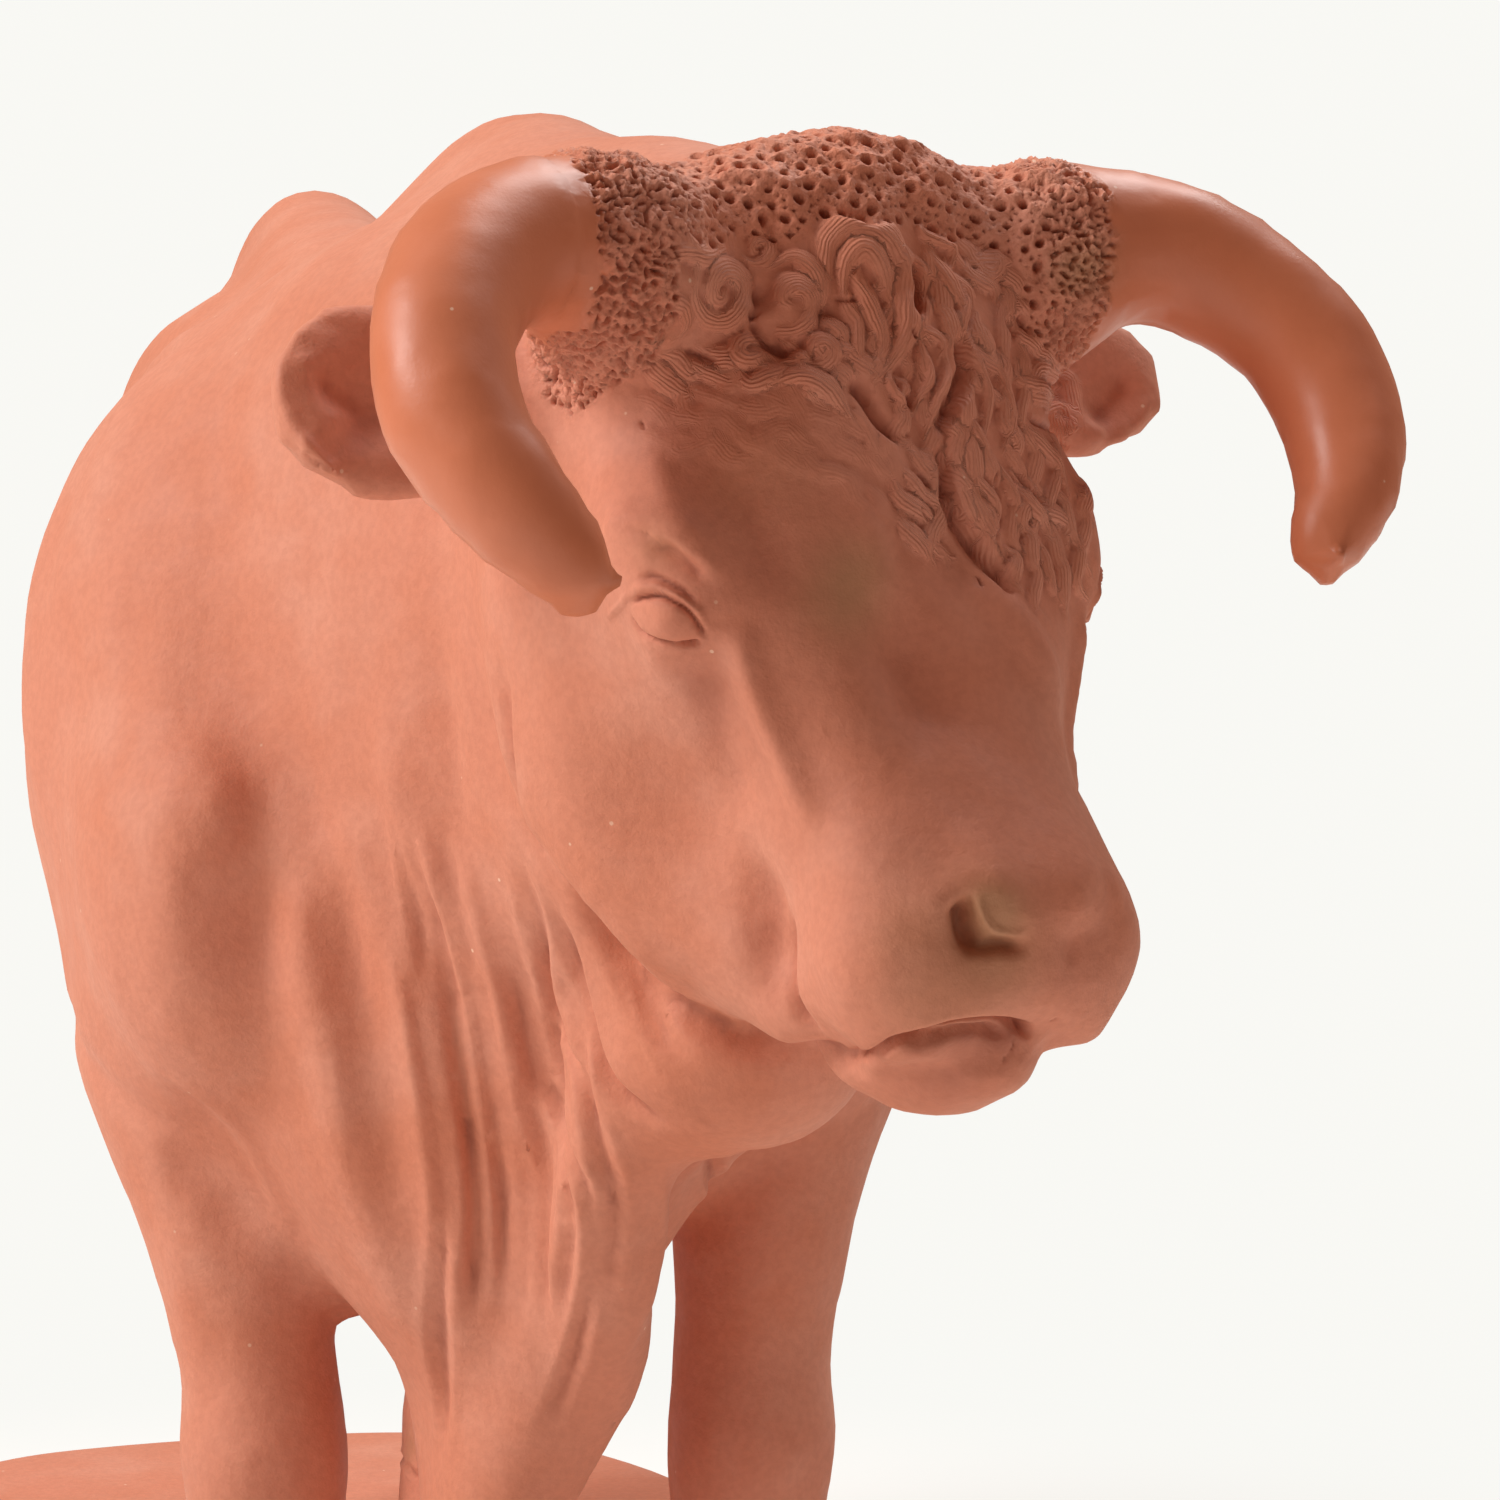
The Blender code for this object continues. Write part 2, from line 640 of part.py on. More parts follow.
def build_slab(collection):
    """The low slab: a disc drawn out to its outline, extruded, with its upper edge rounded."""
    slab = bmesh.new()
    made = bmesh.ops.create_circle(slab, cap_ends=True, radius=1.0, segments=SLAB_SIDES)
    for vert, (x, y) in zip(made["verts"], slab_outline()):
        vert.co = (x, y, 0.0)
    bottom = list(slab.faces)
    for face in bottom:
        if face.normal.z > 0:
            face.normal_flip()
    raised = bmesh.ops.extrude_face_region(slab, geom=bottom, use_keep_orig=True)["geom"]
    top = [item for item in raised if isinstance(item, bmesh.types.BMVert)]
    bmesh.ops.translate(slab, verts=top, vec=(0.0, 0.0, SLAB_THICKNESS))
    bmesh.ops.recalc_face_normals(slab, faces=slab.faces)
    rim = [edge for edge in slab.edges if all(vert.co.z > SLAB_THICKNESS / 2 for vert in edge.verts)]
    rounding = min(SLAB_EDGE_ROUNDING, SLAB_THICKNESS / 2)
    bmesh.ops.bevel(slab, geom=rim, offset=rounding, segments=SLAB_EDGE_STEPS, affect="EDGES", profile=0.5, material=-1)
    mesh = bpy.data.meshes.new("slab")
    slab.to_mesh(mesh)
    slab.free()
    return new_object("slab", mesh, collection)


def clay_material():
    """Fired clay, salmon to brick in colour and dull."""
    material = bpy.data.materials.new("fired_clay")
    material.use_nodes = True
    shader = material.node_tree.nodes["Principled BSDF"]
    shader.inputs["Base Color"].default_value = CLAY_COLOUR
    shader.inputs["Roughness"].default_value = CLAY_ROUGHNESS
    shader.inputs["Metallic"].default_value = 0.0
    return material


def clear_scene():
    for item in list(bpy.data.objects):
        bpy.data.objects.remove(item)
    for mesh in list(bpy.data.meshes):
        bpy.data.meshes.remove(mesh)


def main():
    clear_scene()
    sculpture = bpy.data.collections.new("bull_sculpture")
    joined = bpy.data.collections.new("joined_clay")
    for collection in (sculpture, joined):
        bpy.context.scene.collection.children.link(collection)

    forms = figure_forms()
    mesh = worked_clay(forms, figure_strokes(), joined)
    mesh.materials.append(clay_material())
    bull = new_object("bull", mesh, sculpture)
    group = weigh_head(bull)
    mesh.calc_loop_triangles()
    thin = bull.modifiers.new("fewer_faces", "DECIMATE")
    thin.ratio = min(1.0, FIGURE_TRIANGLES / len(mesh.loop_triangles))
    thin.vertex_group = group.name
    thin.vertex_group_factor = HEAD_CARE * UNIT
    thin.use_collapse_triangulate = True

    slab = build_slab(joined)
    slab.hide_render = True
    slab.display_type = "WIRE"
    union = bull.modifiers.new("slab_of_the_same_clay", "BOOLEAN")
    union.operation = "UNION"
    union.solver = "EXACT"
    union.object = slab


main()
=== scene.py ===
"""Looks of a bull modelled in clay on a low oval slab and fired in one piece.

The figure's surface starts from the CAD solid and is worked the way a modeller works clay: small forms are
pressed up, folds are drawn in, hair is laid in locks and combed, and the curls of the poll are poked with a
needle. Points given as a place in the picture are in 1500ths of its width, and each is carried onto the clay
that it meets.
"""

import logging
import math
from collections.abc import Iterable
from dataclasses import dataclass, field
from enum import Enum

import bmesh
import bpy
import numpy as np
from mathutils import Matrix, Vector, noise
from mathutils.bvhtree import BVHTree

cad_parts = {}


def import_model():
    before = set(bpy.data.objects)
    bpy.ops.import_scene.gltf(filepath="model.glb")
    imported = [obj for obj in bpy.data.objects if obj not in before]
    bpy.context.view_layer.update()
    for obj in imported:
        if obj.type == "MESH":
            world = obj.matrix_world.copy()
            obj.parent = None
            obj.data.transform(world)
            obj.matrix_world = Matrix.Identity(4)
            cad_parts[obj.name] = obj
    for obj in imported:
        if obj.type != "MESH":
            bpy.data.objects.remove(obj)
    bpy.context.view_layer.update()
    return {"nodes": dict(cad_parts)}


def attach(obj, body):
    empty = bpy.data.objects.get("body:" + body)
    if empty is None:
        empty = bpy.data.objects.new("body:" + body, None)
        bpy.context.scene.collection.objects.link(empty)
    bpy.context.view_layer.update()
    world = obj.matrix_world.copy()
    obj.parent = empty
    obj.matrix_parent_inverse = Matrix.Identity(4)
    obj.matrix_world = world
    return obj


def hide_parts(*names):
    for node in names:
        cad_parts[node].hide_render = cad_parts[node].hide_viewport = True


LOG = logging.getLogger("bull")
MM = 0.001
# One unit of the figure is a 150th of its height at the withers
UNIT = 0.0016
STANCE = np.array([0.007, -0.008, 0.016])
PICTURE = 1500.0
Points = list[tuple[float, ...]]
Colour = tuple[float, float, float, float]
NO_LIMIT = math.inf
# In widths of a groove: how far its pull reaches, where its burr stands, and how wide the burr is
PULL_REACH = 3.0
BURR_PLACE = 1.6
BURR_WIDTH = 0.7
NEXT_CELLS = [(i, j, k) for i in (-1, 0, 1) for j in (-1, 0, 1) for k in (-1, 0, 1)]
# How far aside a pair of legs stands, half the way between the two, and how far back they are
FORE_FOOT = (-1.0, 20.3, -62.0)
HIND_FOOT = (3.0, 11.0, 62.0)


class Mask(Enum):
    """The vertex attributes that the clay's material reads, the painted shade among them."""

    HORN = "horn"
    HAIR = "hair"
    # Painted shade: how much the clay's colour is darkened in hollows and at the listed shade spots
    HOLLOW = "hollow"
    STAIN = "stain"
    COMB = "comb"
    COMB_STRENGTH = "comb_strength"


@dataclass(frozen=True)
class HeadFrame:
    """The head's own axes, from the poll between the horns: to the bull's left, out of the face, down it."""

    poll: tuple[float, float, float] = (15.9, -114.5, 140.3)
    turn: float = 21.3
    slope: float = 66.8

    def axes(self) -> np.ndarray:
        """The three axes as rows."""
        turn = math.radians(self.turn)
        slope = math.radians(self.slope)
        ahead = np.array([math.sin(turn), -math.cos(turn), 0.0])
        up = np.array([0.0, 0.0, 1.0])
        left = np.array([math.cos(turn), math.sin(turn), 0.0])
        out = math.sin(slope) * ahead + math.cos(slope) * up
        down = math.cos(slope) * ahead - math.sin(slope) * up
        return np.array([left, out, down])

    def inside(self, points: np.ndarray) -> np.ndarray:
        """Points of the row frame, in metres, as units of the head's frame."""
        return ((points - STANCE) / UNIT - np.array(self.poll)) @ self.axes().T

    def outside(self, points: np.ndarray) -> np.ndarray:
        """Units of the head's frame as metres of the row frame."""
        return (np.asarray(points, float) @ self.axes() + np.array(self.poll)) * UNIT + STANCE

    def turned_over(self, points: np.ndarray, turn: float) -> np.ndarray:
        """Points of the row frame as they are, or mirrored to the head's other side where the turn is -1."""
        return self.outside(self.inside(points) * np.array([turn, 1.0, 1.0]))


HEAD = HeadFrame()


@dataclass(frozen=True)
class Sight:
    """The camera: where it stands, how it looks, and what of the clay a place in the picture meets."""

    place: tuple[float, float, float] = (-0.09572, -0.73776, 0.22944)
    tilt: float = 84.87
    turn: float = -12.02
    focal: float = 4830.39
    sensor: float = 36.0

    def rotation(self) -> Matrix:
        """How the camera is turned."""
        pitch = Matrix.Rotation(math.radians(self.tilt), 3, "X")
        return Matrix.Rotation(math.radians(self.turn), 3, "Z") @ pitch

    def build(self) -> bpy.types.Object:
        """Makes the camera and looks through it.

        Returns:
            The camera's object.
        """
        camera = bpy.data.objects.new("camera", bpy.data.cameras.new("camera"))
        bpy.context.scene.collection.objects.link(camera)
        camera.location = self.place
        camera.rotation_euler = self.rotation().to_euler()
        camera.data.sensor_width = self.sensor
        camera.data.lens = self.focal / PICTURE * self.sensor
        camera.data.clip_start = 0.01
        bpy.context.scene.camera = camera
        return camera

    def strike(self, tree: BVHTree, x: float, y: float) -> tuple[Vector, Vector] | None:
        """Carries a place in the picture onto the clay.

        Args:
            tree: The clay's faces.
            x: How far across the picture, in 1500ths.
            y: How far down the picture, in 1500ths.

        Returns:
            The point met and the way its face looks, or None beside the clay.
        """
        half = PICTURE / 2.0
        way = self.rotation() @ Vector((x - half, half - y, -self.focal))
        point, facing, _, _ = tree.ray_cast(Vector(self.place), way.normalized())
        return None if point is None else (point, facing)


SIGHT = Sight()


def smooth_step(low: float, high: float, value: np.ndarray) -> np.ndarray:
    """Nothing up to the low value, one from the high value on, and a smooth rise between."""
    share = np.clip((value - low) / (high - low), 0.0, 1.0)
    return share * share * (3.0 - 2.0 * share)


def drawn_curve(points: np.ndarray, steps: int) -> np.ndarray:
    """A smooth curve through points.

    Args:
        points: The points that it passes.
        steps: How many pieces each stretch is cut into.

    Returns:
        The points along the curve.
    """
    padded = np.vstack([2 * points[0] - points[1], points, 2 * points[-1] - points[-2]])
    share = np.linspace(0.0, 1.0, steps, endpoint=False)[:, None]
    spans = []
    for i in range(1, len(padded) - 2):
        before, start, end, after = padded[i - 1], padded[i], padded[i + 1], padded[i + 2]
        linear = (end - before) * share
        square = (2 * before - 5 * start + 4 * end - after) * share**2
        cube = (3 * start - before - 3 * end + after) * share**3
        spans.append(start + 0.5 * (linear + square + cube))
    return np.vstack(spans + [points[-1:]])


def lumpiness(points: np.ndarray, size: float, shift: float = 0.0) -> np.ndarray:
    """Smooth noise at each point.

    Args:
        points: Where, in metres.
        size: How wide its lumps are, in metres.
        shift: Another shift gives another pattern.

    Returns:
        One value from about -1 to 1 for each point.
    """
    return np.array([noise.noise(Vector(p) / size + Vector((shift, 0.0, 0.0))) for p in points])


class Side(Enum):
    """Which side of the head a tool works on: the one in the picture, the other one, or both."""

    NEAR = (1.0,)
    FAR = (-1.0,)
    BOTH = (1.0, -1.0)


@dataclass(frozen=True)
class Pull:
    """One pull of a tool: a groove along a path, or a ridge where its depth is below nothing.

    A path of pairs is a path in the picture. A path of threes holds places beside the clay, in units of the
    figure.
    """

    path: Points
    width: float
    depth: float
    fade: float = 0.3
    burr: float = 0.0
    side: Side = Side.NEAR


@dataclass(frozen=True)
class Swell:
    """A thumb's swelling of the clay round a point, or a hollow where its rise is below nothing."""

    x: float
    y: float
    radius: float
    rise: float
    side: Side = Side.NEAR


@dataclass(frozen=True)
class Curl:
    """A curl of hair: one lock rolled into a spiral. Its half sizes are in 1500ths of the picture."""

    x: float
    y: float
    half_width: float
    half_height: float
    turns: float
    start: float
    width: float
    rise: float


@dataclass(frozen=True)
class Lock:
    """A lock of hair: a rounded ridge along a path, combed lengthwise."""

    path: Points
    width: float
    rise: float


class ClaySurface:
    """The points of the clay while it is modelled, with what the tools need to know of them."""

    def __init__(self, mesh: bpy.types.Mesh) -> None:
        """Reads the points, edges and faces of a mesh."""
        self.mesh = mesh
        count = len(mesh.vertices)
        flat = np.empty(count * 3, np.float32)
        mesh.vertices.foreach_get("co", flat)
        self.points = flat.reshape(-1, 3).astype(float)
        pairs = np.empty(len(mesh.edges) * 2, np.int32)
        mesh.edges.foreach_get("vertices", pairs)
        self.edges = pairs.reshape(-1, 2)
        mesh.calc_loop_triangles()
        corners = np.empty(len(mesh.loop_triangles) * 3, np.int32)
        mesh.loop_triangles.foreach_get("vertices", corners)
        self.triangles = corners.reshape(-1, 3)
        self.degree = np.bincount(self.edges.ravel(), minlength=count)[:, None]
        self.refresh()

    def refresh(self) -> None:
        """Works out the normals again after the points have moved, and drops the old search tree."""
        first, second, third = (self.points[self.triangles[:, i]] for i in range(3))
        facing = np.cross(second - first, third - first)
        total = np.zeros_like(self.points)
        for i in range(3):
            for axis in range(3):
                total[:, axis] += np.bincount(self.triangles[:, i], facing[:, axis], len(self.points))
        self.normals = total / np.maximum(np.linalg.norm(total, axis=1, keepdims=True), 1e-12)
        self.found_tree: BVHTree | None = None

    @property
    def tree(self) -> BVHTree:
        """The search tree of the faces, made when it is first asked for."""
        if self.found_tree is None:
            self.found_tree = BVHTree.FromPolygons(self.points.tolist(), self.triangles.tolist())
        return self.found_tree

    def neighbour_mean(self, values: np.ndarray) -> np.ndarray:
        """The mean of each point's neighbours' values."""
        total = np.zeros_like(values)
        for axis in range(values.shape[1]):
            for here, there in ((0, 1), (1, 0)):
                total[:, axis] += np.bincount(
                    self.edges[:, here], values[self.edges[:, there], axis], len(values)
                )
        return total / np.maximum(self.degree, 1)

    def rub(self, weight: np.ndarray, passes: int) -> None:
        """Rubs the surface smooth without shrinking it.

        Args:
            weight: How much each point takes part, from 0 to 1.
            passes: How often the thumb goes over it.
        """
        for _ in range(passes):
            for factor in (0.5, -0.52):
                step = self.neighbour_mean(self.points) - self.points
                self.points += factor * weight[:, None] * step
        self.refresh()

    def lift(self, rise: np.ndarray) -> None:
        """Moves each point along its normal, by metres."""
        self.points += self.normals * rise[:, None]
        self.refresh()

    def laid(self, path: Points, side: Side = Side.NEAR) -> list[tuple[np.ndarray, np.ndarray]]:
        """Lays a path from the picture onto the clay.

        Args:
            path: Its places in the picture.
            side: Which side of the head gets the path.

        Returns:
            For each side the points of the path, in metres, and the way the clay there looks.
        """
        if len(path[0]) == 3:
            first = np.array(path) * UNIT + STANCE
        else:
            hits = [hit for hit in (SIGHT.strike(self.tree, x, y) for x, y in path) if hit is not None]
            if len(hits) < 2:
                return []
            first = np.array([tuple(point) for point, _ in hits])
        laid = []
        for turn in side.value:
            points = HEAD.turned_over(first, turn)
            curve = drawn_curve(points, 6)
            settled = [self.tree.find_nearest(Vector(p)) for p in curve]
            facing = np.mean([tuple(found[1]) for found in settled], axis=0)
            laid.append((np.array([tuple(found[0]) for found in settled]), facing))
        return laid

    def beside(self, path: np.ndarray, facing: np.ndarray, reach: float) -> tuple[np.ndarray, ...]:
        """Finds the points of the clay beside a path.

        Args:
            path: The points along it, in metres.
            facing: The way the clay looks along it.
            reach: How far away a point still counts.

        Returns:
            The points' indices, their distances, the share of the path passed, and how far they lie across.
        """
        within = (self.points > path.min(0) - reach) & (self.points < path.max(0) + reach)
        near = np.flatnonzero(within.all(1) & (self.normals @ facing > 0.0))
        legs = path[1:] - path[:-1]
        squares = np.maximum((legs**2).sum(1), 1e-14)
        offsets = self.points[near][:, None, :] - path[None, :-1, :]
        shares = np.clip((offsets * legs).sum(2) / squares, 0.0, 1.0)
        gaps = offsets - shares[..., None] * legs
        rows = np.arange(len(near))
        best = (gaps**2).sum(2).argmin(1)
        gap = gaps[rows, best]
        distance = np.linalg.norm(gap, axis=1)
        passed = (best + shares[rows, best]) / len(legs)
        aside = np.cross(legs[best], self.normals[near])
        aside /= np.maximum(np.linalg.norm(aside, axis=1, keepdims=True), 1e-12)
        across = (gap * aside).sum(1)
        keep = distance < reach
        return near[keep], distance[keep], passed[keep], across[keep]

    def pulled(self, pulls: Iterable[Pull]) -> np.ndarray:
        """How far each point rises under some pulls of the tool, in metres."""
        rise = np.zeros(len(self.points))
        for pull in pulls:
            width = pull.width * MM
            for path, facing in self.laid(pull.path, pull.side):
                near, distance, passed, _ = self.beside(path, facing, width * PULL_REACH)
                ends = smooth_step(0.0, pull.fade, passed) * smooth_step(0.0, pull.fade, 1.0 - passed)
                rise[near] -= pull.depth * MM * ends * np.exp(-((distance / width) ** 2))
                bank = np.exp(-(((distance - BURR_PLACE * width) / (BURR_WIDTH * width)) ** 2))
                rise[near] += pull.burr * MM * ends * bank
        return rise

    def swollen(self, swells: Iterable[Swell], scale: float = MM) -> np.ndarray:
        """How far each point rises under some swellings.

        Args:
            swells: The swellings.
            scale: What a rise of one stands for: a millimetre, or the whole of a soft mark.

        Returns:
            The rise of each point in metres, or its share of the marks.
        """
        rise = np.zeros(len(self.points))
        for swell in swells:
            hit = SIGHT.strike(self.tree, swell.x, swell.y)
            if hit is None:
                continue
            for turn in swell.side.value:
                middle = HEAD.turned_over(np.array(tuple(hit[0])), turn)
                distance = np.linalg.norm(self.points - middle, axis=1)
                rise += swell.rise * scale * np.exp(-((distance / (swell.radius * MM)) ** 2))
        return rise

    def write(self) -> None:
        """Puts the points back into the mesh."""
        self.mesh.vertices.foreach_set("co", self.points.astype(np.float32).ravel())
        self.mesh.update()

    def keep(self, mask: Mask, values: np.ndarray) -> None:
        """Stores one value for each point as an attribute of the mesh."""
        attribute = self.mesh.attributes.new(mask.value, "FLOAT", "POINT")
        attribute.data.foreach_set("value", values.astype(np.float32))


@dataclass
class Slab:
    """The low oval slab that the bull stands on, of the same clay."""

    length: float = 0.346
    width: float = 0.168
    thickness: float = 0.016
    edge_rounding: float = 0.004
    corner_power: float = 3.2
    sides: int = 160
    unevenness: float = 0.00035

    def build(self) -> bpy.types.Object:
        """Models the slab as one closed piece.

        Returns:
            The slab's object.
        """
        shape = bmesh.new()
        bmesh.ops.create_circle(shape, cap_ends=True, radius=1.0, segments=self.sides)
        for corner in shape.verts:
            power = 2.0 / self.corner_power
            corner.co.x = math.copysign(abs(corner.co.x) ** power, corner.co.x) * self.width / 2.0
            corner.co.y = math.copysign(abs(corner.co.y) ** power, corner.co.y) * self.length / 2.0
        raised = bmesh.ops.extrude_face_region(shape, geom=shape.faces[:])
        top = [item for item in raised["geom"] if isinstance(item, bmesh.types.BMVert)]
        bmesh.ops.translate(shape, verts=top, vec=(0.0, 0.0, self.thickness))
        bmesh.ops.recalc_face_normals(shape, faces=shape.faces)
        rims = [edge for edge in shape.edges if edge.calc_face_angle(0.0) > 1.0]
        bmesh.ops.bevel(
            shape, geom=rims, offset=self.edge_rounding * 0.6, segments=4, profile=0.5,
            affect="EDGES", material=-1, offset_type="OFFSET", clamp_overlap=True,
        )
        for depth in (0.006, 0.010, 0.014, 0.018):
            tops = [face for face in shape.faces if face.normal.z > 0.99 and len(face.verts) > 20]
            bmesh.ops.inset_region(shape, faces=tops, thickness=depth, use_even_offset=True)
        for corner in shape.verts:
            if corner.co.z > self.thickness * 0.5:
                wave = noise.noise(Vector((corner.co.x, corner.co.y, 0.0)) / 0.03)
                corner.co.z += self.unevenness * (wave - 0.6)
        bmesh.ops.triangulate(shape, faces=[face for face in shape.faces if len(face.verts) > 4])
        return make_object("slab_blank", shape)


def make_object(name: str, shape: bmesh.types.BMesh) -> bpy.types.Object:
    """Turns a finished bmesh into an object at the origin.

    Args:
        name: The object's name.
        shape: The bmesh, which is freed.

    Returns:
        The object, in the scene.
    """
    mesh = bpy.data.meshes.new(name)
    shape.to_mesh(mesh)
    shape.free()
    made = bpy.data.objects.new(name, mesh)
    bpy.context.scene.collection.objects.link(made)
    return made


def keep_largest_shell(mesh: bpy.types.Mesh) -> None:
    """Drops the crumbs and bubbles that aren't joined to the main shell of a mesh."""
    shape = bmesh.new()
    shape.from_mesh(mesh)
    left = set(shape.verts)
    shells = []
    while left:
        reached = [left.pop()]
        for corner in reached:
            beyond = {edge.other_vert(corner) for edge in corner.link_edges} & left
            left -= beyond
            reached.extend(beyond)
        shells.append(reached)
    shells.sort(key=len)
    for crumb in shells[:-1]:
        bmesh.ops.delete(shape, geom=crumb, context="VERTS")
    shape.to_mesh(mesh)
    shape.free()


def finished_mesh(source: bpy.types.Object, name: str) -> bpy.types.Mesh:
    """A mesh with the modifiers of an object worked into it.

    Args:
        source: The object.
        name: The mesh's name.

    Returns:
        The new mesh.
    """
    graph = bpy.context.evaluated_depsgraph_get()
    mesh = bpy.data.meshes.new_from_object(source.evaluated_get(graph), depsgraph=graph)
    mesh.name = name
    return mesh


@dataclass
class Modelling:
    """What the modeller's tools do to the clay, by region, with its stains and its painted shade. Widths and
    depths are in millimetres.
    """

    face_pulls: tuple[Pull, ...] = (
        Pull([(728, 610), (745, 660), (768, 716), (798, 786), (826, 842)], 2.0, -1.8, 0.25, side=Side.BOTH),
        Pull([(694, 640), (704, 675), (715, 710), (728, 745)], 3.1, 1.9, 0.6),
        Pull([(712, 690), (728, 760), (750, 830)], 2.6, 0.9, 0.4),
        Pull([(868, 585), (908, 645), (932, 705), (948, 770)], 5.2, 3.0, 0.4),
        Pull([(730, 835), (754, 875), (766, 925), (768, 975), (784, 1018)], 3.3, 2.9, 0.4, side=Side.BOTH),
        Pull([(560, 870), (590, 920), (640, 985), (700, 1026), (770, 1040), (830, 1058), (868, 1086)],
             2.2, 3.2, 0.25),
        Pull([(600, 905), (650, 955), (705, 985)], 4.0, -1.2, 0.5),
        Pull([(785, 905), (783, 945), (787, 985), (802, 1018), (830, 1048)], 1.1, 1.8, 0.3, side=Side.BOTH),
        Pull([(590, 548), (620, 530), (660, 524), (700, 545), (731, 592)], 1.8, -1.0, 0.3),
        Pull([(652, 430), (662, 480), (682, 525), (722, 590)], 2.2, -1.0, 0.35),
        Pull([(745, 430), (745, 490), (765, 550), (795, 610)], 3.8, 1.6, 0.4),
        Pull([(862, 490), (874, 550), (874, 610)], 2.4, -1.1, 0.4),
        Pull([(950, 560), (1005, 612), (1042, 668), (1062, 735)], 2.6, -1.7, 0.35),
        Pull([(497, 640), (503, 720), (516, 800), (545, 868)], 1.6, 1.7, 0.3),
        Pull([(318, 352), (336, 385), (362, 425), (395, 458)], 2.8, 1.6, 0.35),
        Pull([(352, 318), (318, 322), (291, 350), (281, 385), (292, 425), (318, 455), (355, 480)],
             0.9, -0.6, 0.2),
        Pull([(1090, 425), (1112, 398), (1138, 366)], 2.4, 1.6, 0.35),
        Pull([(1098, 448), (1130, 430), (1152, 395), (1160, 360)], 0.9, -0.6, 0.2),
    )
    face_swells: tuple[Swell, ...] = (
        Swell(590, 770, 10.0, 1.2, side=Side.BOTH),
        Swell(850, 965, 6.5, 1.2, side=Side.BOTH),
        Swell(872, 850, 5.5, 1.0),
        Swell(936, 903, 2.6, 0.8, side=Side.BOTH),
        Swell(668, 620, 2.7, 0.9),
        Swell(668, 620, 3.6, -0.8, side=Side.FAR),
        Swell(675, 560, 2.2, -0.35),
        Swell(721, 296, 3.2, 0.8),
        Swell(788, 306, 3.0, 0.8),
        Swell(868, 250, 4.6, 1.2),
        Swell(1088, 245, 5.0, -1.0),
        Swell(757, 296, 1.6, -1.6),
        Swell(776, 345, 2.2, -1.2),
        Swell(822, 312, 1.7, -1.4),
        Swell(770, 238, 1.8, -0.9),
        Swell(222, 800, 6.5, 1.3),
        Swell(917, 292, 2.4, -1.5),
        Swell(690, 262, 1.6, -0.7),
    )
    lid_pulls: tuple[Pull, ...] = (
        Pull([(629, 604), (640, 598), (651, 596), (660, 595), (670, 599), (683, 606), (693, 615), (700, 627),
              (707, 641)], 0.34, 0.95, 0.12, side=Side.BOTH),
        Pull([(628, 612), (634, 623), (641, 633), (651, 639), (663, 643), (677, 645), (693, 644), (706, 641)],
             0.32, 0.75, 0.2, side=Side.BOTH),
        Pull([(676, 645), (690, 645), (704, 642)], 0.5, 0.6, 0.3, side=Side.BOTH),
        Pull([(634, 582), (645, 577), (657, 577), (671, 584), (683, 591), (693, 600), (703, 609)],
             0.5, 0.70, 0.25, side=Side.BOTH),
        Pull([(629, 592), (640, 588), (655, 586), (672, 592), (688, 602), (700, 616), (708, 634)],
             0.55, -0.55, 0.2, side=Side.BOTH),
        Pull([(602, 622), (614, 611), (624, 600), (630, 588)], 0.45, -0.45, 0.3),
        Pull([(640, 541), (658, 534), (676, 538), (690, 550), (703, 559), (714, 573), (725, 588)],
             0.8, -0.6, 0.3),
        Pull([(650, 552), (668, 549), (684, 560), (697, 572), (708, 584)], 0.7, 0.5, 0.3),
    )
    nose_pulls: tuple[Pull, ...] = (
        Pull([(968, 886), (966, 904), (967, 922), (972, 938), (984, 946), (1000, 945), (1016, 946),
              (1033, 946)], 0.95, 2.2, 0.22),
        Pull([(962, 896), (962, 918), (969, 938), (986, 948)], 1.3, 2.0, 0.3),
        Pull([(977, 892), (980, 912), (991, 928), (1010, 936), (1030, 934)], 0.6, -0.7, 0.2),
        Pull([(1074, 925), (1074, 960), (1070, 1000)], 1.5, 0.5, 0.4),
        Pull([(1048, 1022), (1053, 1021), (1058, 1017)], 0.16, 0.25, 0.3),
        Pull([(1014, 1034), (1014, 1046), (1006, 1057), (1000, 1068)], 0.16, 0.3, 0.2),
        Pull([(846, 1055), (865, 1053), (885, 1049), (908, 1040), (942, 1031), (971, 1025), (1000, 1023),
              (1020, 1027), (1034, 1037)], 0.62, 2.3, 0.1),
        Pull([(900, 1049), (925, 1042), (955, 1036), (985, 1032), (1012, 1034)], 0.75, 1.7, 0.25),
        Pull([(862, 1066), (886, 1063), (908, 1057)], 1.5, -0.6, 0.4),
    )
    needle_cracks: tuple[Pull, ...] = (
        Pull([(1000, 465), (996, 480), (998, 495), (1001, 522), (998, 538), (1005, 556), (1003, 572)],
             0.20, 0.55, 0.15),
        Pull([(915, 474), (922, 478), (929, 486)], 0.2, 0.6, 0.2),
        Pull([(922, 507), (926, 515), (932, 522)], 0.2, 0.5, 0.2),
        Pull([(977, 575), (980, 580), (984, 587)], 0.2, 0.5, 0.2),
        Pull([(640, 420), (643, 425), (645, 430)], 0.2, 0.4, 0.2),
        Pull([(437, 398), (444, 404), (440, 410)], 0.25, 0.3, 0.2),
    )
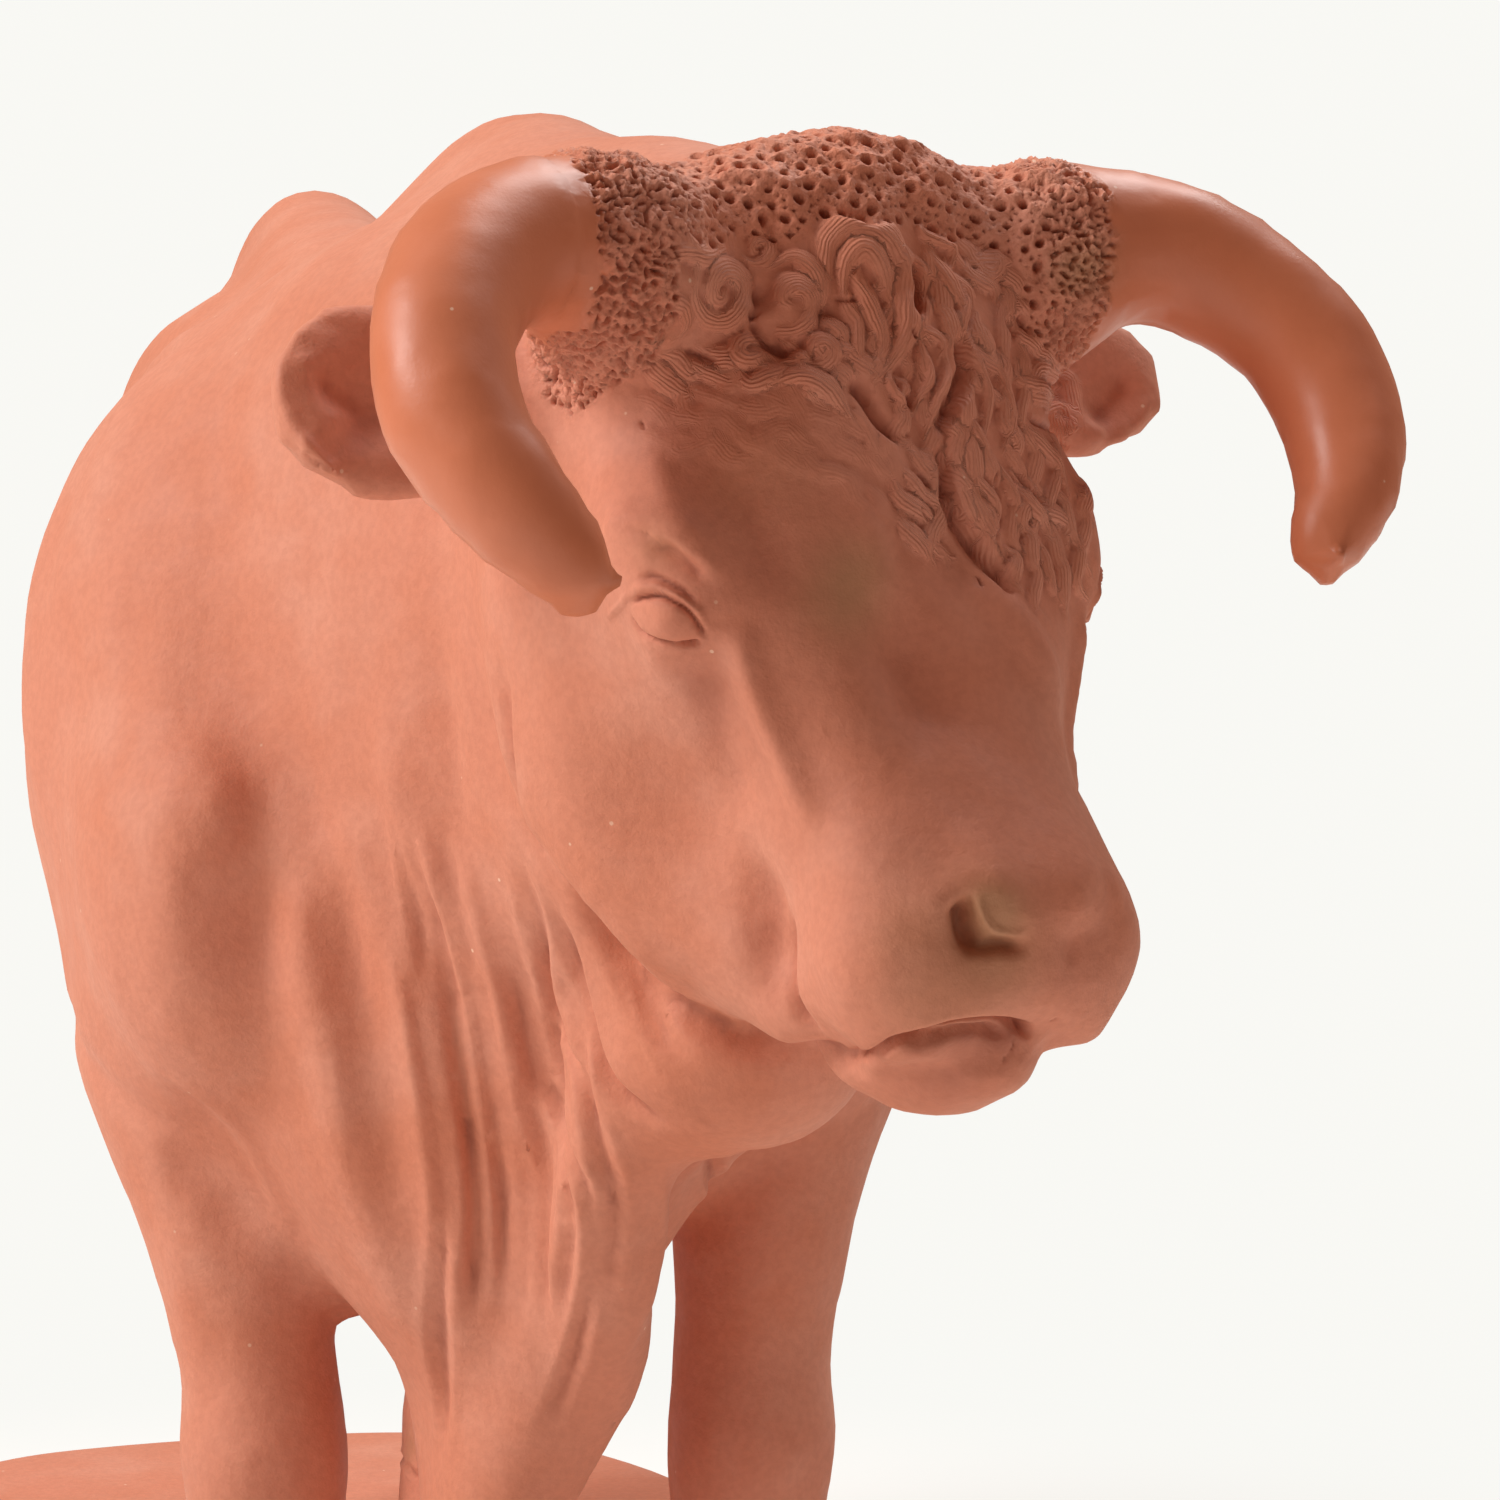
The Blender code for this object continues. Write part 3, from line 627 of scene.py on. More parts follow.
    hair_grooves: tuple[Pull, ...] = (
        Pull([(843, 377), (856, 386), (866, 398), (877, 415), (892, 432), (912, 440)],
             1.03, 1.95, 0.25, 0.25),
        Pull([(957, 330), (960, 350), (964, 370), (957, 392), (945, 415), (934, 440)], 0.92, 2.10, 0.2, 0.25),
        Pull([(934, 440), (944, 468), (946, 500), (962, 530), (982, 556), (1002, 578), (1018, 598)],
             1.09, 1.95, 0.2, 0.3),
        Pull([(907, 258), (910, 280), (912, 305), (919, 321)], 0.92, 1.95, 0.25, 0.2),
        Pull([(908, 328), (914, 340)], 0.40, 1.05, 0.2),
        Pull([(905, 392), (910, 410)], 0.57, 1.20, 0.3),
        Pull([(1000, 320), (1016, 338)], 0.63, 1.20, 0.3),
        Pull([(1016, 312), (1030, 336)], 0.63, 1.20, 0.3),
        Pull([(1025, 405), (1045, 425), (1063, 447), (1072, 470)], 0.46, 0.90, 0.3),
        Pull([(1010, 467), (1030, 492), (1048, 512)], 0.46, 0.90, 0.3),
        Pull([(752, 312), (758, 334), (786, 352), (812, 338)], 0.63, 1.20, 0.3),
        Pull([(680, 352), (700, 356), (722, 366)], 0.52, 0.90, 0.3),
        Pull([(748, 309), (758, 318)], 0.80, 1.20, 0.4),
        Pull([(832, 297), (846, 301), (860, 298)], 0.34, 0.60, 0.3),
    )
    curls: tuple[Curl, ...] = (
        Curl(721, 292, 30, 38, 1.5, 0.6, 2.1, 0.95),
        Curl(790, 302, 30, 32, 0.9, 2.6, 2.0, 1.0),
        Curl(672, 318, 18, 22, 1.1, 1.0, 1.4, 0.7),
        Curl(757, 250, 17, 15, 1.1, 2.0, 1.3, 0.8),
        Curl(752, 352, 24, 16, 1.2, 5.2, 1.4, 0.8),
        Curl(818, 352, 20, 18, 1.2, 1.8, 1.4, 0.8),
        Curl(700, 240, 18, 13, 1.0, 0.3, 1.2, 0.6),
        Curl(990, 262, 18, 20, 1.1, 4.0, 1.30, 0.7),
        Curl(1040, 385, 20, 26, 1.0, 1.4, 1.30, 0.6),
    )
    combed_locks: tuple[Lock, ...] = (
        Lock([(826, 278), (828, 244), (850, 224), (880, 232), (900, 262), (904, 300)], 2.5, 1.35),
        Lock([(842, 292), (846, 262), (862, 248), (880, 268), (890, 306)], 1.8, 1.35),
        Lock([(770, 268), (792, 258), (812, 272), (818, 300), (806, 330)], 1.5, 1.0),
        Lock([(660, 262), (684, 252), (706, 258), (724, 250)], 1.3, 0.8),
        Lock([(866, 224), (892, 240), (903, 268), (901, 300), (905, 330), (893, 358), (878, 378)],
             1.87, 1.50),
        Lock([(845, 268), (860, 290), (872, 318), (880, 345), (868, 372)], 1.43, 1.05),
        Lock([(925, 250), (940, 270), (955, 295), (966, 318)], 1.32, 0.90),
        Lock([(892, 367), (886, 382), (898, 402), (910, 414)], 0.72, 1.05),
        Lock([(922, 345), (928, 365), (927, 382), (917, 398), (911, 416)], 0.66, 1.05),
        Lock([(944, 350), (946, 375), (937, 395), (930, 415), (922, 440)], 0.83, 1.05),
        Lock([(972, 340), (978, 365), (986, 395), (984, 425), (978, 450)], 0.88, 0.90),
        Lock([(992, 350), (1003, 385), (1010, 420), (1002, 452)], 0.99, 0.90),
        Lock([(770, 385), (795, 377), (818, 384), (836, 400), (850, 420)], 1.65, 1.20),
        Lock([(1015, 360), (1030, 385), (1050, 410), (1068, 440)], 1.21, 0.90),
        Lock([(1018, 425), (1035, 440), (1055, 465), (1068, 495)], 1.43, 0.90),
        Lock([(1008, 480), (1024, 500), (1040, 520), (1052, 545)], 1.32, 0.90),
        Lock([(966, 470), (975, 500), (988, 530), (1004, 560)], 1.21, 0.75),
    )
    neck_pulls: tuple[Pull, ...] = (
        Pull([(545, 880), (574, 970), (592, 1045), (625, 1100), (690, 1132)], 1.5, 1.9, 0.3, 0.3),
        Pull([(585, 905), (612, 965), (655, 1030), (705, 1062)], 1.5, 1.4, 0.4, 0.2),
        Pull([(600, 1010), (650, 1078), (720, 1108)], 3.0, -1.1, 0.5),
        Pull([(520, 830), (538, 920), (556, 1010), (580, 1090), (604, 1180)], 1.2, 1.2, 0.3, 0.3),
        Pull([(206, 700), (210, 800), (214, 900)], 5.2, -1.9, 0.5),
        Pull([(292, 800), (282, 880), (262, 950), (244, 1020)], 4.2, 0.9, 0.5),
        Pull([(338, 860), (350, 960), (362, 1060), (376, 1150), (396, 1240)], 3.4, 0.6, 0.5),
        Pull([(286, 850), (296, 950), (322, 1060)], 3.6, -1.0, 0.4),
        Pull([(425, 600), (442, 700), (455, 800), (468, 900)], 3.2, 1.2, 0.4),
        Pull([(376, 640), (392, 760), (410, 860), (425, 950)], 3.2, -1.0, 0.4),
        Pull([(125, 1040), (205, 1092), (272, 1180), (330, 1290)], 2.6, -1.1, 0.35),
        Pull([(150, 1130), (215, 1190), (275, 1275)], 3.8, 1.3, 0.4),
        Pull([(750, 1146), (705, 1198), (668, 1254)], 1.3, 1.0, 0.3, 0.3),
        Pull([(655, 1145), (662, 1220), (650, 1290), (612, 1370)], 1.5, -0.8, 0.3),
    )
    outer_fold: tuple[tuple[float, float], ...] = (
        (372, 780), (404, 930), (428, 1060), (442, 1200), (440, 1340), (434, 1480),
    )
    inner_fold: tuple[tuple[float, float], ...] = (
        (540, 850), (560, 960), (586, 1080), (612, 1200), (604, 1330), (552, 1470),
    )
    # Painted shade: spots where the clay's colour is darkened for the shade on the chin, along the mouth,
    # under the eye, behind the muzzle and at the nostril
    painted_shades: tuple[Swell, ...] = (
        Swell(925, 1090, 8.0, 0.30), Swell(965, 1075, 7.0, 0.22), Swell(915, 1047, 1.5, 0.7),
        Swell(940, 1040, 1.7, 0.8), Swell(965, 1036, 1.8, 0.8), Swell(990, 1033, 1.8, 0.8),
        Swell(1012, 1035, 1.6, 0.7), Swell(708, 680, 3.6, 0.32), Swell(722, 720, 3.6, 0.30),
        Swell(766, 930, 3.4, 0.30), Swell(772, 985, 3.2, 0.35), Swell(975, 905, 1.6, 0.5),
        Swell(1000, 945, 2.2, 0.4),
    )
    stains: tuple[Swell, ...] = (
        Swell(842, 600, 5.0, 0.8), Swell(858, 560, 4.0, 0.5), Swell(1000, 912, 3.2, 0.7),
        Swell(985, 900, 2.0, 0.4), Swell(975, 930, 6.0, 0.45), Swell(1000, 965, 5.5, 0.4),
        Swell(925, 1000, 5.5, 0.3), Swell(905, 930, 4.0, 0.25), Swell(770, 480, 6.0, 0.2),
        Swell(411, 1445, 3.5, 0.6), Swell(1092, 262, 3.5, 0.5), Swell(1070, 275, 3.0, 0.4),
        Swell(660, 545, 3.0, 0.3),
    )
    left_side: tuple[Pull, ...] = (
        Pull([(27, 28, 120), (30, 33, 102), (28, 38, 84)], 5.5, 2.8, 0.4),
        Pull([(15, 30, 136), (21, 38, 130), (24, 46, 122)], 5.0, -2.2, 0.4),
        Pull([(22, 72, 124), (24, 76, 104), (21, 75, 84)], 3.4, 2.0, 0.4),
        Pull([(12, 84, 126), (13, 85, 104), (12, 82, 84)], 4.0, -1.0, 0.4),
        Pull([(22, -26, 130), (32, -31, 110), (34, -36, 90), (30, -44, 74)], 3.6, 2.1, 0.35),
        Pull([(26, -48, 124), (33, -52, 104), (34, -58, 88)], 5.0, -1.1, 0.4),
        Pull([(22, -66, 66), (27, -60, 74), (32, -46, 78)], 2.6, 1.1, 0.4),
    )
    ribs: int = 6
    neck_wrinkles: int = 4

    def hidden_pulls(self) -> list[Pull]:
        """What is modelled on the sides that the picture doesn't show, plainer than the face."""
        pulls = []
        for side in (-1.0, 1.0):
            for form in self.left_side:
                path = [(side * x, y, z) for x, y, z in form.path]
                pulls.append(Pull(path, form.width, form.depth, form.fade))
            for index in range(self.ribs):
                y = -16.0 + index * 8.5
                top = 122.0 - index * 1.5
                low = 78.0 + index * 3.0
                rib = [(side * 28, y, top), (side * 38, y + 4.0, (top + low) / 2), (side * 34, y + 9.0, low)]
                pulls.append(Pull(rib, 2.6, 1.0, 0.4))
            pulls += self.foot_pulls(*FORE_FOOT, side, -4.0) + self.foot_pulls(*HIND_FOOT, side, -2.0)
        for fold in range(self.neck_wrinkles):
            y = -74.0 - fold * 5.5
            wrinkle = [(30, y, 120 - fold * 4), (33, y - 4, 100 - fold * 3), (26, y - 5, 80)]
            pulls.append(Pull(wrinkle, 1.9, 1.0, 0.3, 0.2))
        for strand in (-2.6, -1.3, 0.0, 1.3, 2.6):
            hair = [(3.4 + strand, 91, 66), (5 + strand * 1.3, 89, 55), (5.5 + strand, 88, 43)]
            hair.append((5 + strand * 0.4, 86, 35))
            pulls.append(Pull(hair, 0.55, 0.8, 0.2, 0.25))
        for edge in (-4.4, 4.4):
            root = [(0.3 + edge, 90, 134), (0.8 + edge, 92, 115), (1.4 + edge, 91, 94)]
            pulls.append(Pull(root, 1.3, 1.2, 0.3))
        return pulls

    def foot_pulls(
        self, middle: float, spread: float, stance: float, side: float, ahead: float,
    ) -> list[Pull]:
        """The cleft, the top edge and the two dew claws of one foot.

        Args:
            middle: How far the pair of legs stands aside.
            spread: Half the way between the pair's legs.
            stance: How far back the legs stand.
            side: Which of the pair.
            ahead: How far the hoof stands before its leg.

        Returns:
            The pulls.
        """
        x = middle + side * spread
        y = stance + ahead
        pulls = [Pull([(x, y - 7.0, 9.5), (x, y - 9.5, 6.0), (x, y - 12.0, 0.8)], 0.6, 1.7, 0.12, 0.3)]
        for quarter in range(4):
            turns = [math.pi / 2 * (quarter + share / 4) for share in range(5)]
            rim = [(x + 7.6 * math.cos(turn), y + 1.0 + 8.0 * math.sin(turn), 8.2) for turn in turns]
            pulls.append(Pull(rim, 0.6, 0.65, 0.05, 0.2))
        for claw in (-2.6, 2.6):
            pulls.append(Pull([(x + claw, y + 11.0, 12.5), (x + claw, y + 11.0, 9.8)], 1.3, -1.5, 0.3))
        return pulls

    def throat_folds(self, count: int, seed: int) -> list[Pull]:
        """The folds of loose skin that fall from the throat to the brisket.

        Args:
            count: How many lie side by side.
            seed: Another seed sways them another way.

        Returns:
            A groove for each, between the outer fold and the inner one.
        """
        draw = np.random.default_rng(seed)
        outer, inner = np.array(self.outer_fold), np.array(self.inner_fold)
        folds = []
        for index in range(count):
            share = (index + draw.uniform(-0.22, 0.22)) / (count - 1)
            path = outer + share * (inner - outer) + draw.normal(size=outer.shape) * (2.2, 0.0)
            start = draw.integers(0, 2)
            end = len(path) - draw.integers(0, 2)
            width = draw.uniform(1.1, 1.8)
            depth = draw.uniform(0.55, 1.15)
            folds.append(Pull([tuple(place) for place in path[start:end]], width, depth, 0.15, 0.3))
        return folds


@dataclass(frozen=True)
class Zone:
    """A box of the head's frame or of the figure's, and how often the faces in it are halved."""

    level: int
    x: tuple[float, float]
    y: tuple[float, float]
    z: tuple[float, float]

    def holds(self, places: np.ndarray) -> np.ndarray:
        """Whether each place lies inside."""
        low, high = np.array([self.x, self.y, self.z]).T
        return ((places > low) & (places < high)).all(1)


ANYWHERE = (-NO_LIMIT, NO_LIMIT)
# Head, hair, forehead, muzzle, eyes, ears, poked curls, lids, nostrils, lips: aside, out of the face, down it
HEAD_ZONES = (
    Zone(1, (-1, 29), (-42, 14), (-16, 68)),
    Zone(2, (-1, 27), (-20, NO_LIMIT), (-14, 14)),
    Zone(2, (-1, 19), (-9, NO_LIMIT), (5, 31)),
    Zone(2, (-1, 15), (-15, NO_LIMIT), (46, NO_LIMIT)),
    Zone(2, (12, 24), (-16, 4), (18, 35)),
    Zone(2, (24, 48), (-28, -8), (-4, 16)),
    Zone(3, (-1, 26), (-13, NO_LIMIT), (-12, 12.5)),
    Zone(3, (14, 22.5), (-12.5, -1), (21.5, 32.5)),
    Zone(3, (-1, 9), (-2, NO_LIMIT), (49, 57.5)),
    Zone(3, (-1, 12), (-13, NO_LIMIT), (57, 63)),
)
# The chest, the throat, the feet, the tail and its tuft: aside, back, up
FIGURE_ZONES = (
    Zone(1, ANYWHERE, (-NO_LIMIT, -52), (22, 118)),
    Zone(2, (-32, 16), (-NO_LIMIT, -74), (26, 106)),
    Zone(2, ANYWHERE, ANYWHERE, (0.4, 15)),
    Zone(1, (-6, 12), (76, NO_LIMIT), (28, 136)),
    Zone(2, (-6, 12), (76, NO_LIMIT), (28, 72)),
)
COMBED_ZONE = Zone(3, (-18.5, 19), (-6, NO_LIMIT), (4, 30))
# The middle line of a horn in the head's frame
HORN_SWEEP = np.array([
    (22.1, -1.6, 1.2), (30.2, -0.6, 3.4), (36.6, 1.6, 9.0), (38.3, 3.0, 16.2), (35.9, 4.3, 23.0),
    (32.0, 4.4, 28.0),
])
# Places in the picture and the way the hair flows there, in degrees below level
HAIR_FLOW = np.array([
    (670, 405, 15), (700, 440, 10), (740, 420, 15), (790, 430, 28), (830, 450, 38), (870, 480, 45),
    (905, 520, 55), (850, 330, 75), (870, 300, 80), (930, 370, 85), (960, 300, 80), (990, 400, 82),
    (1000, 470, 75), (1030, 340, 62), (1055, 400, 62), (1070, 480, 72), (1050, 560, 78), (1010, 540, 62),
    (760, 350, 10), (700, 370, 25), (920, 460, 60), (980, 250, 45), (680, 340, 60),
], float)
# The edge of the forehead's hair in the picture
HAIR_OUTLINE = [
    (655, 385), (690, 352), (760, 356), (818, 352), (850, 300), (900, 250), (960, 235), (1005, 262),
    (1050, 345), (1080, 400), (1090, 480), (1082, 560), (1052, 598), (1016, 590), (970, 550), (935, 560),
    (905, 545), (868, 500), (820, 468), (760, 448), (700, 452), (655, 440),
]


@dataclass
class Bull:
    """The figure and its slab as one piece of worked clay."""

    cad_node: bpy.types.Object
    slab: Slab = field(default_factory=Slab)
    modelling: Modelling = field(default_factory=Modelling)
    grain: float = 0.0028
    cut_height: float = 0.0166
    sunk: float = 0.003
    seed: int = 7
    tuft_spacing: float = 1.55
    collar_spacing: float = 0.66
    fold_count: int = 9
    most_triangles: int = 196000
    hole_reach: float = 0.0026
    worked_above: tuple[float, float] = (0.018, 0.026)
    skin_share: float = 0.7
    neck_start: float = -0.135
    lock_tries: int = 2600
    lock_spacing: float = 17.0
    flow_reach: float = 42.0

    def blank(self) -> bpy.types.Object:
        """Cuts the figure off its slab and closes it, as loose clay to work on.

        Returns:
            The figure's object, sunk a little below the slab's upper face.
        """
        shape = bmesh.new()
        shape.from_mesh(self.cad_node.data)
        bmesh.ops.remove_doubles(shape, verts=shape.verts, dist=1e-6)
        everything = shape.verts[:] + shape.edges[:] + shape.faces[:]
        bmesh.ops.bisect_plane(
            shape, geom=everything, dist=1e-7, plane_co=(0.0, 0.0, self.cut_height),
            plane_no=(0.0, 0.0, 1.0), clear_inner=True,
        )
        rims = [edge for edge in shape.edges if edge.is_boundary]
        soles = bmesh.ops.holes_fill(shape, edges=rims, sides=0)["faces"]
        sunk = bmesh.ops.extrude_face_region(shape, geom=soles)
        lower = [item for item in sunk["geom"] if isinstance(item, bmesh.types.BMVert)]
        bmesh.ops.translate(shape, verts=lower, vec=(0.0, 0.0, -self.sunk))
        bmesh.ops.delete(shape, geom=[face for face in soles if face.is_valid], context="FACES")
        bmesh.ops.triangulate(shape, faces=shape.faces)
        bmesh.ops.recalc_face_normals(shape, faces=shape.faces)
        return make_object("figure_blank", shape)

    def rounded(self, blank: bpy.types.Object) -> bpy.types.Mesh:
        """Gives the blank even faces that lie on a smooth skin over the solid.

        Args:
            blank: The closed figure.

        Returns:
            The mesh of even faces.
        """
        remesh = blank.modifiers.new("even_faces", "REMESH")
        remesh.mode = "VOXEL"
        remesh.voxel_size = self.grain
        even = finished_mesh(blank, "figure_even")
        blank.modifiers.remove(remesh)
        solid = ClaySurface(blank.data)
        clay = ClaySurface(even)
        found = [solid.tree.find_nearest(Vector(p)) for p in clay.points]
        place = np.array([tuple(item[0]) for item in found])
        corners = solid.triangles[np.array([item[2] for item in found])]
        first, second, third = (solid.points[corners[:, i]] for i in range(3))
        whole = np.linalg.norm(np.cross(second - first, third - first), axis=1)
        shares = np.stack([
            np.linalg.norm(np.cross(second - place, third - place), axis=1),
            np.linalg.norm(np.cross(third - place, first - place), axis=1),
            np.linalg.norm(np.cross(first - place, second - place), axis=1),
        ], axis=1) / np.maximum(whole, 1e-16)[:, None]
        shares /= np.maximum(shares.sum(1, keepdims=True), 1e-9)
        skin = np.zeros_like(place)
        for i in range(3):
            corner = solid.points[corners[:, i]]
            facing = solid.normals[corners[:, i]]
            height = ((place - corner) * facing).sum(1, keepdims=True)
            skin += shares[:, i : i + 1] * (place - height * facing)
        clay.points = place + self.skin_share * (skin - place)
        clay.rub(np.ones(len(clay.points)), 4)
        left, out, down = HEAD.inside(clay.points).T
        aside = smooth_step(21.0, 24.0, np.abs(left)) * (clay.points[:, 1] < self.neck_start)
        clay.rub(aside, 12)
        clay.rub(aside * (out < -8.0) * (down < 18.0), 60)
        clay.write()
        return even

    def joined(self, figure: bpy.types.Mesh) -> bpy.types.Object:
        """Joins the figure and the slab into one closed piece.

        Args:
            figure: The figure's mesh.

        Returns:
            The object of both.
        """
        made = bpy.data.objects.new("bull_clay", figure)
        bpy.context.scene.collection.objects.link(made)
        slab = self.slab.build()
        union = made.modifiers.new("slab", "BOOLEAN")
        union.operation = "UNION"
        union.solver = "MANIFOLD"
        union.object = slab
        mesh = finished_mesh(made, "bull_clay")
        made.modifiers.clear()
        made.data = mesh
        bpy.data.objects.remove(slab)
        keep_largest_shell(mesh)
        return made

    def fineness(self, points: np.ndarray) -> np.ndarray:
        """How often the faces at each point are halved for the detail there."""
        head = HEAD.inside(points)
        left, _, down = head.T
        mirrored = np.column_stack([np.abs(left), head[:, 1:]])
        level = np.zeros(len(points), int)
        for zones, places in ((HEAD_ZONES, mirrored), (FIGURE_ZONES, (points - STANCE) / UNIT)):
            for zone in zones:
                level = np.maximum(level, zone.level * zone.holds(places))
        hairline = down < 20.5 + 0.9 * np.maximum(left + 14.0, 0.0)
        level = np.maximum(level, COMBED_ZONE.level * (COMBED_ZONE.holds(head) & hairline))
        return level

    def refined(self, body: bpy.types.Object) -> None:
        """Halves the faces where the detail needs it, and rubs the new ones round.

        Args:
            body: The joined object, whose mesh is changed.
        """
        for step in (1, 2, 3):
            shape = bmesh.new()
            shape.from_mesh(body.data)
            points = np.array([tuple(corner.co) for corner in shape.verts])
            fine = self.fineness(points) >= step
            edges = [edge for edge in shape.edges if fine[edge.verts[0].index] and fine[edge.verts[1].index]]
            bmesh.ops.subdivide_edges(shape, edges=edges, cuts=1, use_grid_fill=True)
            bmesh.ops.triangulate(shape, faces=[face for face in shape.faces if len(face.verts) > 4])
            shape.to_mesh(body.data)
            shape.free()
            clay = ClaySurface(body.data)
            clay.rub((self.fineness(clay.points) >= step).astype(float), 3)
            clay.write()
            LOG.info("halved %d times: %d faces", step, len(clay.triangles))

    def regions(self, clay: ClaySurface) -> dict[Mask, np.ndarray]:
        """How much each point belongs to the horns and to the poked curls."""
        left, out, down = HEAD.inside(clay.points).T
        aside = np.abs(left)
        curve = drawn_curve(HORN_SWEEP, 6)
        local = np.stack([aside, out, down], axis=1)
        gap = np.full(len(local), 99.0)
        for point in curve:
            gap = np.minimum(gap, np.linalg.norm(local - point, axis=1))
        ragged = 1.1 * lumpiness(clay.points, 0.003)
        root = np.where(left > 0.0, 20.4, 23.8)
        horn = smooth_step(root - 1.6, root + 0.8, aside + ragged) * (1.0 - smooth_step(8.5, 10.5, gap))
        front_edge = 1.2 + np.where(left > 0.0, 0.012, 0.007) * left**2 + 0.5 * np.cos(left * 0.9)
        tuft = (aside < 17.5) & (down < front_edge) & (out > -11) & (down > -14)
        collar_reach = np.hypot(out + 0.5, down - 2.5)
        collar = (aside > np.where(left > 0.0, 13.5, 17.6)) & (aside + ragged < root)
        collar &= (collar_reach < 13.5) & (out > -13) & (down < 10.5 - 0.25 * np.maximum(20.0 - aside, 0.0))
        curls = (tuft | collar).astype(float)
        for _ in range(3):
            curls = clay.neighbour_mean(curls[:, None])[:, 0]
        return {Mask.HORN: horn, Mask.HAIR: np.clip(curls, 0.0, 1.0)}

    def poked(self, clay: ClaySurface, curls: np.ndarray) -> np.ndarray:
        """Pokes the curls of the poll with a needle.

        Args:
            clay: The surface.
            curls: How much each point belongs to the curls.

        Returns:
            How far each point rises, in metres.
        """
        draw = np.random.default_rng(self.seed)
        rise = np.zeros(len(clay.points))
        inside = np.flatnonzero(curls > 0.55)
        aside = np.abs(HEAD.inside(clay.points)[:, 0])
        near = np.flatnonzero(curls > 0.01)
        spots = clay.points[near]
        lumps = lumpiness(spots, 0.0036) + 0.7 * lumpiness(spots, 0.0017, 4.0)
        ragged = 0.5 - np.abs(lumpiness(spots, 0.0011, 9.0)) * 2.0
        collar = smooth_step(14.0, 17.5, aside[near])
        rise[near] += curls[near] * MM * (0.1 + 0.7 * lumps + (0.16 + 0.36 * collar) * ragged)
        order = np.argsort(spots[:, 0])
        near, spots = near[order], spots[order]
        taken: dict[tuple[int, ...], list[tuple[np.ndarray, float]]] = {}
        count = 0
        for small in (False, True):
            for index in draw.permutation(inside):
                spot = clay.points[index]
                on_collar = aside[index] > 15.5
                gap = (self.collar_spacing if on_collar else self.tuft_spacing) * (0.42 if small else 1.0)
                gap *= draw.uniform(0.85, 1.25) * MM
                cell = tuple(int(value) for value in np.floor(spot / self.hole_reach))
                around = [hole for step in NEXT_CELLS for hole in taken.get(tuple(np.add(cell, step)), ())]
                if any(math.dist(place, spot) - size < gap for place, size in around):
                    continue
                if small and draw.uniform() < 0.5:
                    continue
                size = draw.uniform(0.18, 0.32) if small else draw.uniform(0.38, 0.68)
                size *= 0.62 if on_collar else 1.0
                taken.setdefault(cell, []).append((spot, size * MM))
                count += 1
                depth = size * (draw.uniform(0.9, 1.5) if small else draw.uniform(1.8, 2.8))
                slant = np.cross(clay.normals[index], draw.normal(size=3))
                slant /= max(np.linalg.norm(slant), 1e-9)
                window = (spot[0] - self.hole_reach, spot[0] + self.hole_reach)
                start, end = np.searchsorted(spots[:, 0], window)
                offsets = spots[start:end] - spot
                stretch = draw.uniform(0.3, 0.92) if on_collar else draw.uniform(0.0, 0.45)
                along = offsets @ slant
                distance = np.sqrt(np.maximum((offsets**2).sum(1) - stretch * along**2, 0.0)) / (size * MM)
                pit = 1.0 - smooth_step(0.45, 1.2, distance)
                rim = np.exp(-(((distance - 1.5) / 0.45) ** 2)) * draw.uniform(0.2, 0.6)
                rise[near[start:end]] += MM * (0.4 * size * rim - depth * pit)
        LOG.info("needle holes: %d", count)
        return rise

    def rolled(self, curl: Curl) -> Lock:
        """The spiral lock of one curl, from its heart outwards."""
        steps = int(curl.turns * 9)
        path = []
        for i in range(steps + 1):
            share = i / steps
            angle = curl.start + share * curl.turns * math.tau
            spread = 0.10 + 0.90 * share
            path.append((
                curl.x + curl.half_width * spread * math.cos(angle),
                curl.y + curl.half_height * spread * math.sin(angle),
            ))
        return Lock(path, curl.width, curl.rise)

    def flowing_locks(self) -> list[Lock]:
        """Lays short locks over the forehead along the way its hair flows.

        Returns:
            The locks, the same each time.
        """
        draw = np.random.default_rng(self.seed + 4)
        locks: list[Lock] = []
        spots: list[tuple[float, float]] = []
        for _ in range(self.lock_tries):
            x, y = draw.uniform(650, 1092), draw.uniform(235, 600)
            if not within_outline(HAIR_OUTLINE, x, y):
                continue
            if any((x - u) ** 2 + ((y - v) * 0.8) ** 2 < self.lock_spacing**2 for u, v in spots):
                continue
            spots.append((x, y))
            gap = (HAIR_FLOW[:, 0] - x) ** 2 + (HAIR_FLOW[:, 1] - y) ** 2
            weight = np.exp(-gap / (2 * self.flow_reach**2)) + 1e-9
            turn = np.radians(HAIR_FLOW[:, 2])
            heading = math.atan2((weight * np.sin(turn)).sum(), (weight * np.cos(turn)).sum())
            heading += draw.normal() * 0.10
            length = draw.uniform(46.0, 84.0)
            bow = draw.normal() * 0.09 * length
            path = []
            for share in (-0.5, -0.2, 0.2, 0.5):
                sway = bow * math.sin(share * math.tau)
                path.append((
                    x + math.cos(heading) * length * share - math.sin(heading) * sway,
                    y + math.sin(heading) * length * share + math.cos(heading) * sway,
                ))
            calm = 0.45 if x < 900 and y > 380 else 1.0
            locks.append(Lock(path, draw.uniform(0.9, 1.7), calm * draw.uniform(0.5, 0.95)))
        return locks

